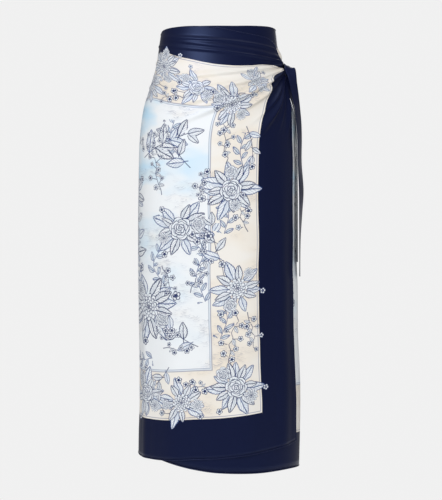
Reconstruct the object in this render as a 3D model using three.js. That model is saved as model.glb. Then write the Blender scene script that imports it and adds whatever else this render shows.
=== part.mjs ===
import * as THREE from "three";
import { mergeVertices } from "three/addons/utils/BufferGeometryUtils.js";

// Wrap skirt of printed silk twill, hanging hollow as it is worn. Millimetres, +Z up.
// The origin is the middle of the waist ring by which it is held up, and the front faces -Y.
// Angles run round the body in degrees: 0 is the middle of the front, 90 the side at +X with the
// knot, 180 the middle of the back and -90 the other side.

// Driving sizes
const clothWall = 1.2; // thickness of one layer of cloth as built
const seamGap = 0.3; // clearance between two pieces that are sewn or tied together
const strapWall = 2.0; // the tie is two layers thick
const overlapRise = 2.4; // how far the outer panel lies outside the inner one
const underEdgeAngle = -50; // where the hidden edge of the inner panel hangs
const upperArcPerDegree = 2.5; // arc length of one degree near the hip, for laying out the folds
const lowerArcPerDegree = 2.7; // the same nearer the hem

// Outside of the cloth at each height: how far it reaches to the plain side, to the tied side, in front and behind
const figure = [
  { z: 30, plainSide: 121, tieSide: 125, frontDepth: 81, backDepth: 84 },
  { z: 12, plainSide: 122, tieSide: 126.5, frontDepth: 81, backDepth: 84 },
  { z: -15, plainSide: 125.8, tieSide: 129.5, frontDepth: 83, backDepth: 87 },
  { z: -45, plainSide: 130, tieSide: 132, frontDepth: 88, backDepth: 93 },
  { z: -73, plainSide: 135, tieSide: 135, frontDepth: 92, backDepth: 100 },
  { z: -116, plainSide: 148, tieSide: 148, frontDepth: 98, backDepth: 110 },
  { z: -160, plainSide: 161, tieSide: 161, frontDepth: 104, backDepth: 118 },
  { z: -225, plainSide: 169, tieSide: 169, frontDepth: 109, backDepth: 123 },
  { z: -290, plainSide: 171, tieSide: 172.5, frontDepth: 111, backDepth: 123 },
  { z: -420, plainSide: 172.5, tieSide: 172.5, frontDepth: 111.5, backDepth: 121 },
  { z: -500, plainSide: 172.3, tieSide: 172.5, frontDepth: 112, backDepth: 120 },
  { z: -540, plainSide: 172, tieSide: 174.4, frontDepth: 112, backDepth: 118.3 },
  { z: -640, plainSide: 170.5, tieSide: 174.9, frontDepth: 112, backDepth: 117.5 },
  { z: -690, plainSide: 169.6, tieSide: 177.2, frontDepth: 112, backDepth: 117 },
  { z: -740, plainSide: 169.4, tieSide: 179.6, frontDepth: 112, backDepth: 116.5 },
  { z: -800, plainSide: 169.3, tieSide: 180.1, frontDepth: 112, backDepth: 116 },
  { z: -860, plainSide: 171.3, tieSide: 179.2, frontDepth: 112, backDepth: 115.7 },
  { z: -950, plainSide: 172, tieSide: 176.8, frontDepth: 112, backDepth: 115 },
];

// Top edge of the outer panel: level at the waist, then drawn down to the knot
const outerTop = [
  { angle: -90, z: 2 },
  { angle: -80, z: 3.5 },
  { angle: -73, z: 7 },
  { angle: -62, z: 9 },
  { angle: -52, z: 10 },
  { angle: -25, z: 10 },
  { angle: 0, z: 5.5 },
  { angle: 14, z: 0 },
  { angle: 28, z: -5 },
  { angle: 42, z: -8 },
  { angle: 58, z: -14 },
  { angle: 68, z: -26 },
  { angle: 73, z: -44 },
  { angle: 75, z: -60 },
];

// Top edge of the inner panel and the back
const innerTop = [
  { angle: -50, z: 10 },
  { angle: -14, z: 9.6 },
  { angle: 15, z: 9.8 },
  { angle: 27, z: 11 },
  { angle: 36, z: 12 },
  { angle: 47, z: 13 },
  { angle: 60, z: 14 },
  { angle: 76, z: 13.5 },
  { angle: 95, z: 12 },
  { angle: 235, z: 12 },
  { angle: 252, z: 10 },
  { angle: 262, z: 4.5 },
  { angle: 270, z: 2 },
];

// Hem of the outer panel, which rises towards the free edge
const outerHem = [
  { angle: -90, z: -901 },
  { angle: -75, z: -905 },
  { angle: -45, z: -908 },
  { angle: -13, z: -903 },
  { angle: 5, z: -900 },
  { angle: 36, z: -888 },
  { angle: 70, z: -872 },
  { angle: 80, z: -870 },
];

// Hem of the inner panel and the back, one line round the skirt
const innerHem = [
  { angle: -50, z: -904 },
  { angle: -42, z: -909.5 },
  { angle: -28, z: -918.5 },
  { angle: -16, z: -925 },
  { angle: 0, z: -931 },
  { angle: 26, z: -933.5 },
  { angle: 60, z: -930 },
  { angle: 90, z: -931 },
  { angle: 150, z: -933 },
  { angle: 210, z: -925 },
  { angle: 255, z: -905 },
  { angle: 270, z: -901 },
];

// Free edge of the outer panel: at the knot, then down the side of the front
const freeEdge = [
  { z: -50, angle: 74.5 },
  { z: -84, angle: 74.5 },
  { z: -110, angle: 77 },
  { z: -132, angle: 76 },
  { z: -150, angle: 73.6 },
  { z: -168, angle: 72 },
  { z: -197, angle: 70 },
  { z: -245, angle: 68.2 },
  { z: -340, angle: 66.5 },
  { z: -450, angle: 67.5 },
  { z: -528, angle: 66.3 },
  { z: -615, angle: 66.6 },
  { z: -657, angle: 67 },
  { z: -700, angle: 66.5 },
  { z: -743, angle: 66.6 },
  { z: -786, angle: 67.5 },
  { z: -829, angle: 67.7 },
  { z: -872, angle: 68.5 },
];

// Folds of the outer panel that fan out of the knot, and the crease along the waist
const dragFolds = [
  { fromAngle: 74, fromZ: -50, toAngle: -84, toZ: 2, sag: -8, fromWidth: 6, toWidth: 13, height: 3 },
  { fromAngle: 75, fromZ: -59, toAngle: -74, toZ: -22, sag: -4, fromWidth: 5, toWidth: 9, height: 2.5 },
  { fromAngle: 77, fromZ: -66, toAngle: -62, toZ: -108, sag: -3, fromWidth: 4, toWidth: 15, height: 4 },
  { fromAngle: 77, fromZ: -69, toAngle: -56, toZ: -144, sag: -11, fromWidth: 4, toWidth: 12, height: 5 },
  { fromAngle: 77, fromZ: -72, toAngle: -82, toZ: -178, sag: -16, fromWidth: 4, toWidth: 16, height: 5 },
  { fromAngle: 77, fromZ: -74, toAngle: -58, toZ: -232, sag: 0, fromWidth: 5, toWidth: 20, height: 9 },
  { fromAngle: 77, fromZ: -77, toAngle: -14, toZ: -226, sag: 3, fromWidth: 5, toWidth: 19, height: 6 },
  { fromAngle: 77, fromZ: -79, toAngle: 16, toZ: -262, sag: -4, fromWidth: 5, toWidth: 20, height: 6 },
  { fromAngle: 77, fromZ: -81, toAngle: 36, toZ: -176, sag: -5, fromWidth: 4, toWidth: 12, height: 5 },
  { fromAngle: 77, fromZ: -83, toAngle: 60, toZ: -245, sag: 0, fromWidth: 4, toWidth: 14, height: 5 },
];

// Soft waves that hang down a panel
const outerWaves = [
  { angle: -63, fromZ: -520, toZ: -960, width: 18, height: 3.5 },
  { angle: -32, fromZ: -420, toZ: -960, width: 44, height: 3 },
  { angle: 20, fromZ: -330, toZ: -960, width: 50, height: 3.5 },
  { angle: 52, fromZ: -240, toZ: -960, width: 28, height: 3 },
];
const innerWaves = [{ angle: 30, fromZ: -700, toZ: -990, width: 40, height: 1.0 }];
const backWaves = [
  { angle: 118, fromZ: -150, toZ: -980, width: 34, height: 4 },
  { angle: 147, fromZ: -260, toZ: -980, width: 44, height: 6 },
  { angle: 182, fromZ: -210, toZ: -980, width: 40, height: 5 },
  { angle: 214, fromZ: -280, toZ: -980, width: 48, height: 6 },
  { angle: 244, fromZ: -180, toZ: -980, width: 30, height: 4 },
];
// Drag lines across the seat, from the tied side
const backDrags = [
  { fromAngle: 98, fromZ: -62, toAngle: 205, toZ: -120, sag: -14, fromWidth: 9, toWidth: 18, height: 4 },
  { fromAngle: 98, fromZ: -78, toAngle: 178, toZ: -200, sag: -10, fromWidth: 9, toWidth: 22, height: 5 },
];

// Where the outer panel stands off to reach the knot
const knotLift = { angle: 76, z: -70, radius: 58, height: 6 };
// Where the whole side is pulled out: at the tied hip, and where cloth bunches above the ties
const sideLifts = [
  { angle: 92, z: -175, radius: 85, height: 6 },
  { angle: 88, z: -47, radius: 29, height: 8 },
];

// The knot is wider than it is high, and leans down towards the hanging ties
const knotCentre = new THREE.Vector3(151.8, -27, -80);
const knotHalf = new THREE.Vector3(11, 10.8, 10);
const knotLean = 20;
const knotWraps = { count: 3, depth: 0.06 };

// The ties. turn is the direction of the width, 0 along X and 90 along Y, and dip its slope down.
// The long one comes over the knot from behind and falls in front of it
const longTail = [
  { x: 152, y: -17, z: -69, width: 22, turn: 0, dip: 27 },
  { x: 152.5, y: -26, z: -67.6, width: 24, turn: 0, dip: 27 },
  { x: 154.5, y: -37, z: -71.5, width: 24, turn: 0, dip: 27 },
  { x: 157, y: -40.5, z: -79.5, width: 23, turn: 4, dip: 22 },
  { x: 160, y: -41, z: -90, width: 20, turn: 14, dip: 12 },
  { x: 163, y: -40, z: -106, width: 19, turn: 30, dip: 4 },
  { x: 166.2, y: -38, z: -124, width: 20, turn: 40, dip: 0 },
  { x: 169, y: -36, z: -141, width: 22, turn: 50, dip: 0 },
  { x: 172, y: -33, z: -158, width: 25, turn: 60, dip: 0 },
  { x: 175.2, y: -30, z: -190, width: 28, turn: 64, dip: 0 },
  { x: 177, y: -28, z: -225, width: 29, turn: 68, dip: 0 },
  { x: 177.4, y: -27, z: -275, width: 29, turn: 71, dip: 0 },
  { x: 180.6, y: -27, z: -335, width: 30, turn: 68, dip: 0 },
  { x: 179.4, y: -27, z: -385, width: 30, turn: 75, dip: 0 },
  { x: 177.8, y: -27, z: -443, width: 30, turn: 83, dip: 0 },
  { x: 177.4, y: -27, z: -521, width: 30, turn: 88, dip: 0 },
];
const shortTail = [
  { x: 152.5, y: -28, z: -93, width: 11, turn: 10, dip: 0 },
  { x: 154.5, y: -29, z: -106, width: 12, turn: 20, dip: 0 },
  { x: 158, y: -28, z: -120, width: 15, turn: 38, dip: 0 },
  { x: 162.4, y: -25, z: -140, width: 20, turn: 62, dip: 0 },
  { x: 167.6, y: -24, z: -165, width: 24, turn: 78, dip: 0 },
  { x: 170.2, y: -23, z: -205, width: 26, turn: 82, dip: 0 },
  { x: 171.8, y: -24, z: -265, width: 27, turn: 83, dip: 0 },
  { x: 172.2, y: -28, z: -340, width: 28, turn: 84, dip: 0 },
  { x: 171.9, y: -28, z: -415, width: 28, turn: 84, dip: 0 },
  { x: 171.8, y: -28, z: -490, width: 28, turn: 84, dip: 0 },
];
// The other tie, from the side seam round to the back of the knot
const stub = [
  { angle: 82.4, z: -80, width: 13, offset: 13 },
  { angle: 84, z: -76.5, width: 17, offset: 9.5 },
  { angle: 86, z: -71.5, width: 22, offset: 5.6 },
  { angle: 89, z: -69, width: 26, offset: 3.8 },
  { angle: 92.5, z: -68, width: 29, offset: 3.4 },
];

// Cells of each piece: how many, and the share of them spent on the first share of the length
const outerCells = { across: 42, down: 38, acrossShare: [0.4, 0.5], downShare: [0.6, 0.26] };
const innerCells = { across: 24, down: 30, acrossShare: [0.4, 0.55], downShare: [0.62, 0.26] };
const backCells = { across: 32, down: 26, acrossShare: [0.45, 0.35], downShare: [0.62, 0.27] };
const stubCells = { across: 8, down: 3, acrossShare: [0.5, 0.5], downShare: [0.5, 0.5] };
const strapCells = { across: 3, along: 30 };

const silk = new THREE.MeshStandardMaterial({ color: 0xdcdad6, roughness: 0.5, metalness: 0 });
const navySilk = new THREE.MeshStandardMaterial({ color: 0x232849, roughness: 0.45, metalness: 0 });

const radians = THREE.MathUtils.degToRad;

// A smooth curve through a table's rows, read at one value of its first column
function readTable(rows, column, value, key) {
  const rising = rows[rows.length - 1][key] > rows[0][key];
  const table = rising ? rows : [...rows].reverse();
  const last = table.length - 1;
  if (value <= table[0][key]) return table[0][column];
  if (value >= table[last][key]) return table[last][column];
  let i = 0;
  while (table[i + 1][key] < value) i += 1;
  const slope = (a, b) => (table[b][column] - table[a][column]) / (table[b][key] - table[a][key]);
  const step = table[i + 1][key] - table[i][key];
  const t = (value - table[i][key]) / step;
  const startSlope = slope(Math.max(i - 1, 0), i + 1);
  const endSlope = slope(i, Math.min(i + 2, last));
  const t2 = t * t;
  const t3 = t2 * t;
  return (
    (2 * t3 - 3 * t2 + 1) * table[i][column] +
    (t3 - 2 * t2 + t) * step * startSlope +
    (3 * t2 - 2 * t3) * table[i + 1][column] +
    (t3 - t2) * step * endSlope
  );
}

// 1 in the middle, falling smoothly to 0 at a distance of 1
function bump(distance) {
  return Math.abs(distance) < 1 ? (1 + Math.cos(Math.PI * distance)) / 2 : 0;
}

function ease(from, to, value) {
  return THREE.MathUtils.smoothstep(value, from, to);
}

// A ridge's section: 1 at its crest, rising softly from above and falling steeply below
function crest(distance) {
  return bump(distance > 0 ? distance / 1.3 : distance / 0.7);
}

function liftHeight(lift, angle, z) {
  const away = Math.hypot((angle - lift.angle) * upperArcPerDegree, z - lift.z);
  return lift.height * bump(away / lift.radius);
}

// A point on the figure at an angle and a height, moved outwards by an offset
function figurePoint(angle, z, ownOffset) {
  const offset = sideLifts.reduce((sum, lift) => sum + liftHeight(lift, angle, z), ownOffset);
  const turned = radians(angle);
  const a = readTable(figure, Math.sin(turned) > 0 ? "tieSide" : "plainSide", z, "z");
  const b = readTable(figure, Math.cos(turned) > 0 ? "frontDepth" : "backDepth", z, "z");
  const outward = new THREE.Vector3(Math.sin(turned) / a, -Math.cos(turned) / b, 0).normalize();
  return new THREE.Vector3(a * Math.sin(turned), -b * Math.cos(turned), z).addScaledVector(outward, offset);
}

// Height of one drag fold at a place: a soft ridge along a sagging line that widens as it goes
function dragFoldHeight(fold, angle, z) {
  const alongX = (fold.toAngle - fold.fromAngle) * upperArcPerDegree;
  const alongZ = fold.toZ - fold.fromZ;
  const fromX = (angle - fold.fromAngle) * upperArcPerDegree;
  const fromZ = z - fold.fromZ;
  const length = Math.hypot(alongX, alongZ);
  const share = (fromX * alongX + fromZ * alongZ) / (length * length);
  if (share <= 0 || share >= 1) return 0;
  const across = (Math.abs(alongX) * fromZ - Math.sign(alongX) * alongZ * fromX) / length;
  const middle = fold.sag * 4 * share * (1 - share);
  const width = THREE.MathUtils.lerp(fold.fromWidth, fold.toWidth, share);
  const strength = ease(0, 0.05, share) * (1 - ease(0.45, 1, share));
  return fold.height * strength * crest((across - middle) / width);
}

function waveHeight(wave, angle, z) {
  const strength = ease(wave.fromZ, wave.fromZ * 0.6 + wave.toZ * 0.4, z);
  return wave.height * strength * bump(((angle - wave.angle) * lowerArcPerDegree) / wave.width);
}

function relief(folds, waves, angle, z) {
  const folded = folds.reduce((sum, fold) => Math.max(sum, dragFoldHeight(fold, angle, z)), 0);
  return waves.reduce((sum, wave) => sum + waveHeight(wave, angle, z), folded);
}

function outerOffset(angle, z) {
  const rise = overlapRise * ease(-89, -62, angle);
  return rise + liftHeight(knotLift, angle, z) + relief(dragFolds, outerWaves, angle, z);
}

// Spends a share of the cells on the first share of the length
function spread(index, count, [cellShare, lengthShare]) {
  const at = index / count;
  return at < cellShare
    ? (at / cellShare) * lengthShare
    : lengthShare + ((at - cellShare) / (1 - cellShare)) * (1 - lengthShare);
}

function solidMesh(name, points, faces, material) {
  const geometry = new THREE.BufferGeometry();
  geometry.setAttribute("position", new THREE.Float32BufferAttribute(points.flatMap((p) => p.toArray()), 3));
  geometry.setIndex(faces);
  geometry.computeVertexNormals();
  const mesh = new THREE.Mesh(geometry, material);
  mesh.name = name;
  return mesh;
}

// A wall of cloth: place(across, down) gives the angle, height and offset of its outside
function clothPanel(name, cells, place, material, wall = clothWall) {
  const outside = [];
  const inside = [];
  for (let i = 0; i <= cells.across; i += 1) {
    for (let j = 0; j <= cells.down; j += 1) {
      const across = spread(i, cells.across, cells.acrossShare);
      const down = spread(j, cells.down, cells.downShare);
      const { angle, z, offset } = place(across, down);
      outside.push(figurePoint(angle, z, offset));
      inside.push(figurePoint(angle, z, offset - wall));
    }
  }
  const rows = cells.down + 1;
  const inner = outside.length;
  const faces = [];
  const square = (a, b, c, d) => faces.push(a, b, c, c, b, d);
  for (let i = 0; i < cells.across; i += 1) {
    for (let j = 0; j < cells.down; j += 1) {
      const k = i * rows + j;
      square(k, k + 1, k + rows, k + rows + 1);
      square(inner + k, inner + k + rows, inner + k + 1, inner + k + rows + 1);
    }
    const top = i * rows;
    const bottom = top + cells.down;
    square(top, top + rows, inner + top, inner + top + rows);
    square(bottom, inner + bottom, bottom + rows, inner + bottom + rows);
  }
  const far = cells.across * rows;
  for (let j = 0; j < cells.down; j += 1) {
    square(j, inner + j, j + 1, inner + j + 1);
    square(far + j, far + j + 1, inner + far + j, inner + far + j + 1);
  }
  return solidMesh(name, [...outside, ...inside], faces, material);
}

// Degrees that leave half of the seam's clearance at a side seam
const seamAngle = THREE.MathUtils.radToDeg(seamGap / 2 / figure[2].frontDepth);

function frontWrap() {
  return clothPanel("front_wrap", outerCells, (across, down) => {
    const left = -90 + seamAngle;
    let angle = left + (freeEdge[0].angle - left) * across;
    let z = 0;
    for (let pass = 0; pass < 3; pass += 1) {
      const top = readTable(outerTop, "z", angle, "angle");
      z = top + (readTable(outerHem, "z", angle, "angle") - top) * down;
      angle = left + (readTable(freeEdge, "angle", z, "z") - left) * across;
    }
    return { angle, z, offset: outerOffset(angle, z) };
  }, silk);
}

function hungPanel(name, cells, fromAngle, toAngle, folds, waves) {
  return clothPanel(name, cells, (across, down) => {
    const angle = THREE.MathUtils.lerp(fromAngle, toAngle, across);
    const top = readTable(innerTop, "z", angle, "angle");
    const z = THREE.MathUtils.lerp(top, readTable(innerHem, "z", angle, "angle"), down);
    return { angle, z, offset: relief(folds, waves, angle, z) };
  }, silk);
}

// The stub is laid on the side of the skirt and lifts off it towards the knot
function tieStub() {
  return clothPanel("tie_stub", stubCells, (across, down) => {
    const angle = THREE.MathUtils.lerp(stub[0].angle, stub[stub.length - 1].angle, across);
    const width = readTable(stub, "width", angle, "angle");
    const z = readTable(stub, "z", angle, "angle") + width * (0.5 - down);
    return { angle, z, offset: readTable(stub, "offset", angle, "angle") };
  }, navySilk, strapWall);
}

// A flat strap along a table of places
function strap(name, table) {
  const line = new THREE.CatmullRomCurve3(table.map((row) => new THREE.Vector3(row.x, row.y, row.z)));
  const points = [];
  for (let i = 0; i <= strapCells.along; i += 1) {
    const at = i / strapCells.along;
    const row = at * (table.length - 1);
    const low = table[Math.min(Math.floor(row), table.length - 2)];
    const high = table[Math.min(Math.floor(row), table.length - 2) + 1];
    const share = row - table.indexOf(low);
    const width = THREE.MathUtils.lerp(low.width, high.width, share);
    const turn = radians(THREE.MathUtils.lerp(low.turn, high.turn, share));
    const dip = radians(THREE.MathUtils.lerp(low.dip, high.dip, share));
    const centre = line.getPoint(at);
    const along = line.getTangent(at);
    const wanted = new THREE.Vector3(Math.cos(turn) * Math.cos(dip), Math.sin(turn) * Math.cos(dip), -Math.sin(dip));
    const face = new THREE.Vector3().crossVectors(along, wanted).normalize();
    const across = new THREE.Vector3().crossVectors(face, along).normalize();
    for (const side of [1, -1]) {
      for (let j = 0; j <= strapCells.across; j += 1) {
        const place = side * (j / strapCells.across - 0.5) * width;
        points.push(centre.clone().addScaledVector(across, place).addScaledVector(face, (side * strapWall) / 2));
      }
    }
  }
  const ring = 2 * (strapCells.across + 1);
  const faces = [];
  for (let i = 0; i < strapCells.along; i += 1) {
    for (let j = 0; j < ring; j += 1) {
      const a = i * ring + j;
      const b = i * ring + ((j + 1) % ring);
      faces.push(a, a + ring, b, b, a + ring, b + ring);
    }
  }
  const end = strapCells.along * ring;
  for (let j = 0; j < strapCells.across; j += 1) {
    const [a, b, c, d] = [j, j + 1, ring - 1 - j, ring - 2 - j];
    faces.push(a, b, c, b, d, c);
    faces.push(end + a, end + c, end + b, end + b, end + c, end + d);
  }
  return solidMesh(name, points, faces, navySilk);
}

// The knot: a small pulled-tight lump with the tie's turns raised round it
function tieKnot() {
  const ball = new THREE.SphereGeometry(1, 22, 14);
  ball.deleteAttribute("normal");
  ball.deleteAttribute("uv");
  const geometry = mergeVertices(ball);
  const position = geometry.attributes.position;
  const point = new THREE.Vector3();
  for (let i = 0; i < position.count; i += 1) {
    point.fromBufferAttribute(position, i);
    const swell = 1 - knotWraps.depth * (1 + Math.cos(point.z * Math.PI * knotWraps.count + point.x));
    point.multiplyScalar(swell).multiply(knotHalf);
    position.setXYZ(i, point.x, point.y, point.z);
  }
  geometry.computeVertexNormals();
  const mesh = new THREE.Mesh(geometry, navySilk);
  mesh.name = "tie_knot";
  mesh.position.copy(knotCentre);
  mesh.rotation.y = radians(knotLean);
  return mesh;
}

const skirt = new THREE.Group();
skirt.add(frontWrap());
skirt.add(hungPanel("under_front", innerCells, underEdgeAngle, 90 - seamAngle, [], innerWaves));
skirt.add(hungPanel("back_panel", backCells, 90 + seamAngle, 270 - seamAngle, backDrags, backWaves));
skirt.add(tieKnot());
skirt.add(strap("tie_tail_long", longTail));
skirt.add(strap("tie_tail_short", shortTail));
skirt.add(tieStub());

export default skirt;
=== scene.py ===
import math
import random

import bpy
import numpy as np
from mathutils import Euler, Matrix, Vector


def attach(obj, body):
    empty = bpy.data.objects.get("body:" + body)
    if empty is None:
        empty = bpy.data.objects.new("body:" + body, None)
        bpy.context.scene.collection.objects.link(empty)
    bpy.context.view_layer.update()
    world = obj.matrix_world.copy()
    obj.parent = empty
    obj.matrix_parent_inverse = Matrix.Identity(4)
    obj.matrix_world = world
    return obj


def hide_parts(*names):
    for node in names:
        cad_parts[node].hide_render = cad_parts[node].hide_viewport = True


# A wrap skirt of printed silk twill, tied at one hip. Sizes are in millimetres as on the
# maker's sheet, and mm turns them into Blender's metres. Angles run round the body in
# degrees: 0 is the middle of the front, 90 the tied side, 180 the middle of the back.

mm = 0.001
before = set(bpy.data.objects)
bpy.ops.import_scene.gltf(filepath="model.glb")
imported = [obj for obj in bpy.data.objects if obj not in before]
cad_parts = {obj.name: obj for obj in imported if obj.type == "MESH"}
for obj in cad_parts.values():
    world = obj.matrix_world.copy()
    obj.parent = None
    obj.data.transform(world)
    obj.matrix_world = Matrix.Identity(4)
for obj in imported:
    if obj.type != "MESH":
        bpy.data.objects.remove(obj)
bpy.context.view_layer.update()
bpy.ops.object.select_all(action="DESELECT")
scene = bpy.context.scene
print("frame loaded:", len(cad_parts), "nodes")


# A table is a list of rows whose values are read by the names of their columns
def tableOf(columns, *rows):
    return [dict(zip(columns, row)) for row in rows]


# camera and studio

cameraSet = {
    "distance": 3000,
    "side": 7.6,
    "height": -464.3,
    "focalPixels": 1379.3,
    "imageHeight": 500,
    "sensor": 36,
}


def addCamera():
    data = bpy.data.cameras.new("camera")
    data.sensor_width = cameraSet["sensor"]
    data.lens = cameraSet["focalPixels"] / cameraSet["imageHeight"] * data.sensor_width
    camera = bpy.data.objects.new("camera", data)
    camera.location = (cameraSet["side"] * mm, -cameraSet["distance"] * mm, cameraSet["height"] * mm)
    camera.rotation_euler = (math.radians(90), 0, 0)
    scene.collection.objects.link(camera)
    scene.camera = camera


studio = {
    "backdrop": (0.875, 0.875, 0.875),
    "ambient": 0.36,
    "floorDrop": 1450,
    "floorRadius": 2.6,
    "floorPaint": (0.8, 0.8, 0.8),
    "fadeFrom": 0.5,
    "fadeTo": 2.6 * 0.92,
}
# The gleam only shows as the shine on the silk, and some boxes only light it
softboxes = tableOf(
    ("name", "place", "size", "power", "lights", "shines"),
    ("key", (-1.2, -2.4, 1.5), (0.9, 0.9), 29, True, False),
    ("gleam", (-1.2, -2.4, 1.5), (0.9, 0.9), 72, False, True),
    ("front", (0.1, -3.1, 0.5), (0.8, 1.2), 33, True, False),
    ("right", (1.5, -2.5, 0.0), (0.9, 1.6), 30, True, False),
    ("left", (-2.4, -1.2, 0.0), (1.0, 1.6), 23, True, False),
    ("top", (0.3, 0.2, 2.2), (1.6, 1.6), 16, True, True),
    ("behind", (0.5, 2.8, 0.7), (2.2, 2.2), 30, True, True),
)


def addStudio():
    world = bpy.data.worlds.new("studio")
    world.use_nodes = True
    scene.world = world
    tree = world.node_tree
    tree.nodes.clear()
    output = tree.nodes.new("ShaderNodeOutputWorld")
    seen = tree.nodes.new("ShaderNodeBackground")
    seen.inputs["Color"].default_value = (*studio["backdrop"], 1)
    ambient = tree.nodes.new("ShaderNodeBackground")
    ambient.inputs["Strength"].default_value = studio["ambient"]
    ray = tree.nodes.new("ShaderNodeLightPath")
    mix = tree.nodes.new("ShaderNodeMixShader")
    tree.links.new(ray.outputs["Is Camera Ray"], mix.inputs["Fac"])
    tree.links.new(ambient.outputs[0], mix.inputs[1])
    tree.links.new(seen.outputs[0], mix.inputs[2])
    tree.links.new(mix.outputs[0], output.inputs["Surface"])
    middle = Vector((0, 0, cameraSet["height"] * mm))
    for box in softboxes:
        data = bpy.data.lights.new(box["name"], "AREA")
        data.shape = "RECTANGLE"
        data.size, data.size_y = box["size"]
        data.energy = box["power"]
        lamp = bpy.data.objects.new(box["name"], data)
        lamp.visible_diffuse = box["lights"]
        lamp.visible_glossy = box["shines"]
        lamp.location = box["place"]
        lamp.rotation_euler = (middle - lamp.location).to_track_quat("-Z", "Y").to_euler()
        scene.collection.objects.link(lamp)
    scene.view_settings.view_transform = "Standard"


def addFloor():
    bpy.ops.mesh.primitive_circle_add(
        vertices=96,
        radius=studio["floorRadius"],
        fill_type="NGON",
        location=(0, 0, -studio["floorDrop"] * mm),
    )
    floor = bpy.context.object
    floor.name = "studio_floor"
    bpy.ops.object.transform_apply(location=True)
    material = bpy.data.materials.new("paleFloor")
    material.use_nodes = True
    tree = material.node_tree
    tree.nodes.clear()
    output = tree.nodes.new("ShaderNodeOutputMaterial")
    paint = tree.nodes.new("ShaderNodeBsdfDiffuse")
    paint.inputs["Color"].default_value = (*studio["floorPaint"], 1)
    glow = tree.nodes.new("ShaderNodeEmission")
    glow.inputs["Color"].default_value = (*studio["backdrop"], 1)
    place = tree.nodes.new("ShaderNodeTexCoord")
    length = tree.nodes.new("ShaderNodeVectorMath")
    length.operation = "LENGTH"
    flat = tree.nodes.new("ShaderNodeVectorMath")
    flat.operation = "MULTIPLY"
    flat.inputs[1].default_value = (1, 1, 0)
    fade = tree.nodes.new("ShaderNodeMapRange")
    fade.interpolation_type = "SMOOTHSTEP"
    fade.inputs["From Min"].default_value = studio["fadeFrom"]
    fade.inputs["From Max"].default_value = studio["fadeTo"]
    mix = tree.nodes.new("ShaderNodeMixShader")
    tree.links.new(place.outputs["Object"], flat.inputs[0])
    tree.links.new(flat.outputs[0], length.inputs[0])
    tree.links.new(length.outputs["Value"], fade.inputs["Value"])
    tree.links.new(fade.outputs["Result"], mix.inputs["Fac"])
    tree.links.new(paint.outputs[0], mix.inputs[1])
    tree.links.new(glow.outputs[0], mix.inputs[2])
    tree.links.new(mix.outputs[0], output.inputs["Surface"])
    floor.data.materials.append(material)
    bpy.ops.object.select_all(action="DESELECT")


addCamera()
addStudio()
addFloor()
print("camera, lights and floor are in")


# shape of the skirt, the same tables as the solids

plainSeam = -90
tiedSeam = 90

# How far the outside of the cloth reaches to the plain side, the tied side, the front and the back
figure = tableOf(
    ("z", "plainSide", "tieSide", "frontDepth", "backDepth"),
    (30, 121, 125, 81, 84),
    (12, 122, 126.5, 81, 84),
    (-15, 125.8, 129.5, 83, 87),
    (-45, 130, 132, 88, 93),
    (-73, 135, 135, 92, 100),
    (-116, 148, 148, 98, 110),
    (-160, 161, 161, 104, 118),
    (-225, 169, 169, 109, 123),
    (-290, 171, 172.5, 111, 123),
    (-420, 172.5, 172.5, 111.5, 121),
    (-500, 172.3, 172.5, 112, 120),
    (-540, 172, 174.4, 112, 118.3),
    (-640, 170.5, 174.9, 112, 117.5),
    (-690, 169.6, 177.2, 112, 117),
    (-740, 169.4, 179.6, 112, 116.5),
    (-800, 169.3, 180.1, 112, 116),
    (-860, 171.3, 179.2, 112, 115.7),
    (-950, 172, 176.8, 112, 115),
)

outerTop = tableOf(
    ("angle", "z"),
    (-90, 2), (-80, 3.5), (-73, 7), (-62, 9), (-52, 10), (-25, 10), (0, 5.5), (14, 0), (28, -5),
    (42, -8), (58, -14), (68, -26), (73, -44), (75, -60),
)
innerTop = tableOf(
    ("angle", "z"),
    (-50, 10), (-14, 9.6), (15, 9.8), (27, 11), (36, 12), (47, 13), (60, 14), (76, 13.5),
    (95, 12), (235, 12), (252, 10), (262, 4.5), (270, 2),
)
outerHem = tableOf(
    ("angle", "z"),
    (-90, -901), (-75, -905), (-45, -908), (-13, -903), (5, -900), (36, -888), (70, -872),
    (80, -870),
)
innerHem = tableOf(
    ("angle", "z"),
    (-50, -904), (-42, -909.5), (-28, -918.5), (-16, -925), (0, -931), (26, -933.5), (60, -930),
    (90, -931), (150, -933), (210, -925), (255, -905), (270, -901),
)
freeEdge = tableOf(
    ("z", "angle"),
    (-50, 74.5), (-84, 74.5), (-110, 77), (-132, 76), (-150, 73.6), (-168, 72), (-197, 70),
    (-245, 68.2), (-340, 66.5), (-450, 67.5), (-528, 66.3), (-615, 66.6), (-657, 67),
    (-700, 66.5), (-743, 66.6), (-786, 67.5), (-829, 67.7), (-872, 68.5),
)


foldColumns = ("fromAngle", "fromZ", "toAngle", "toZ", "sag", "fromWidth", "toWidth", "height")
waveColumns = ("angle", "fromZ", "toZ", "width", "height")

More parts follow.
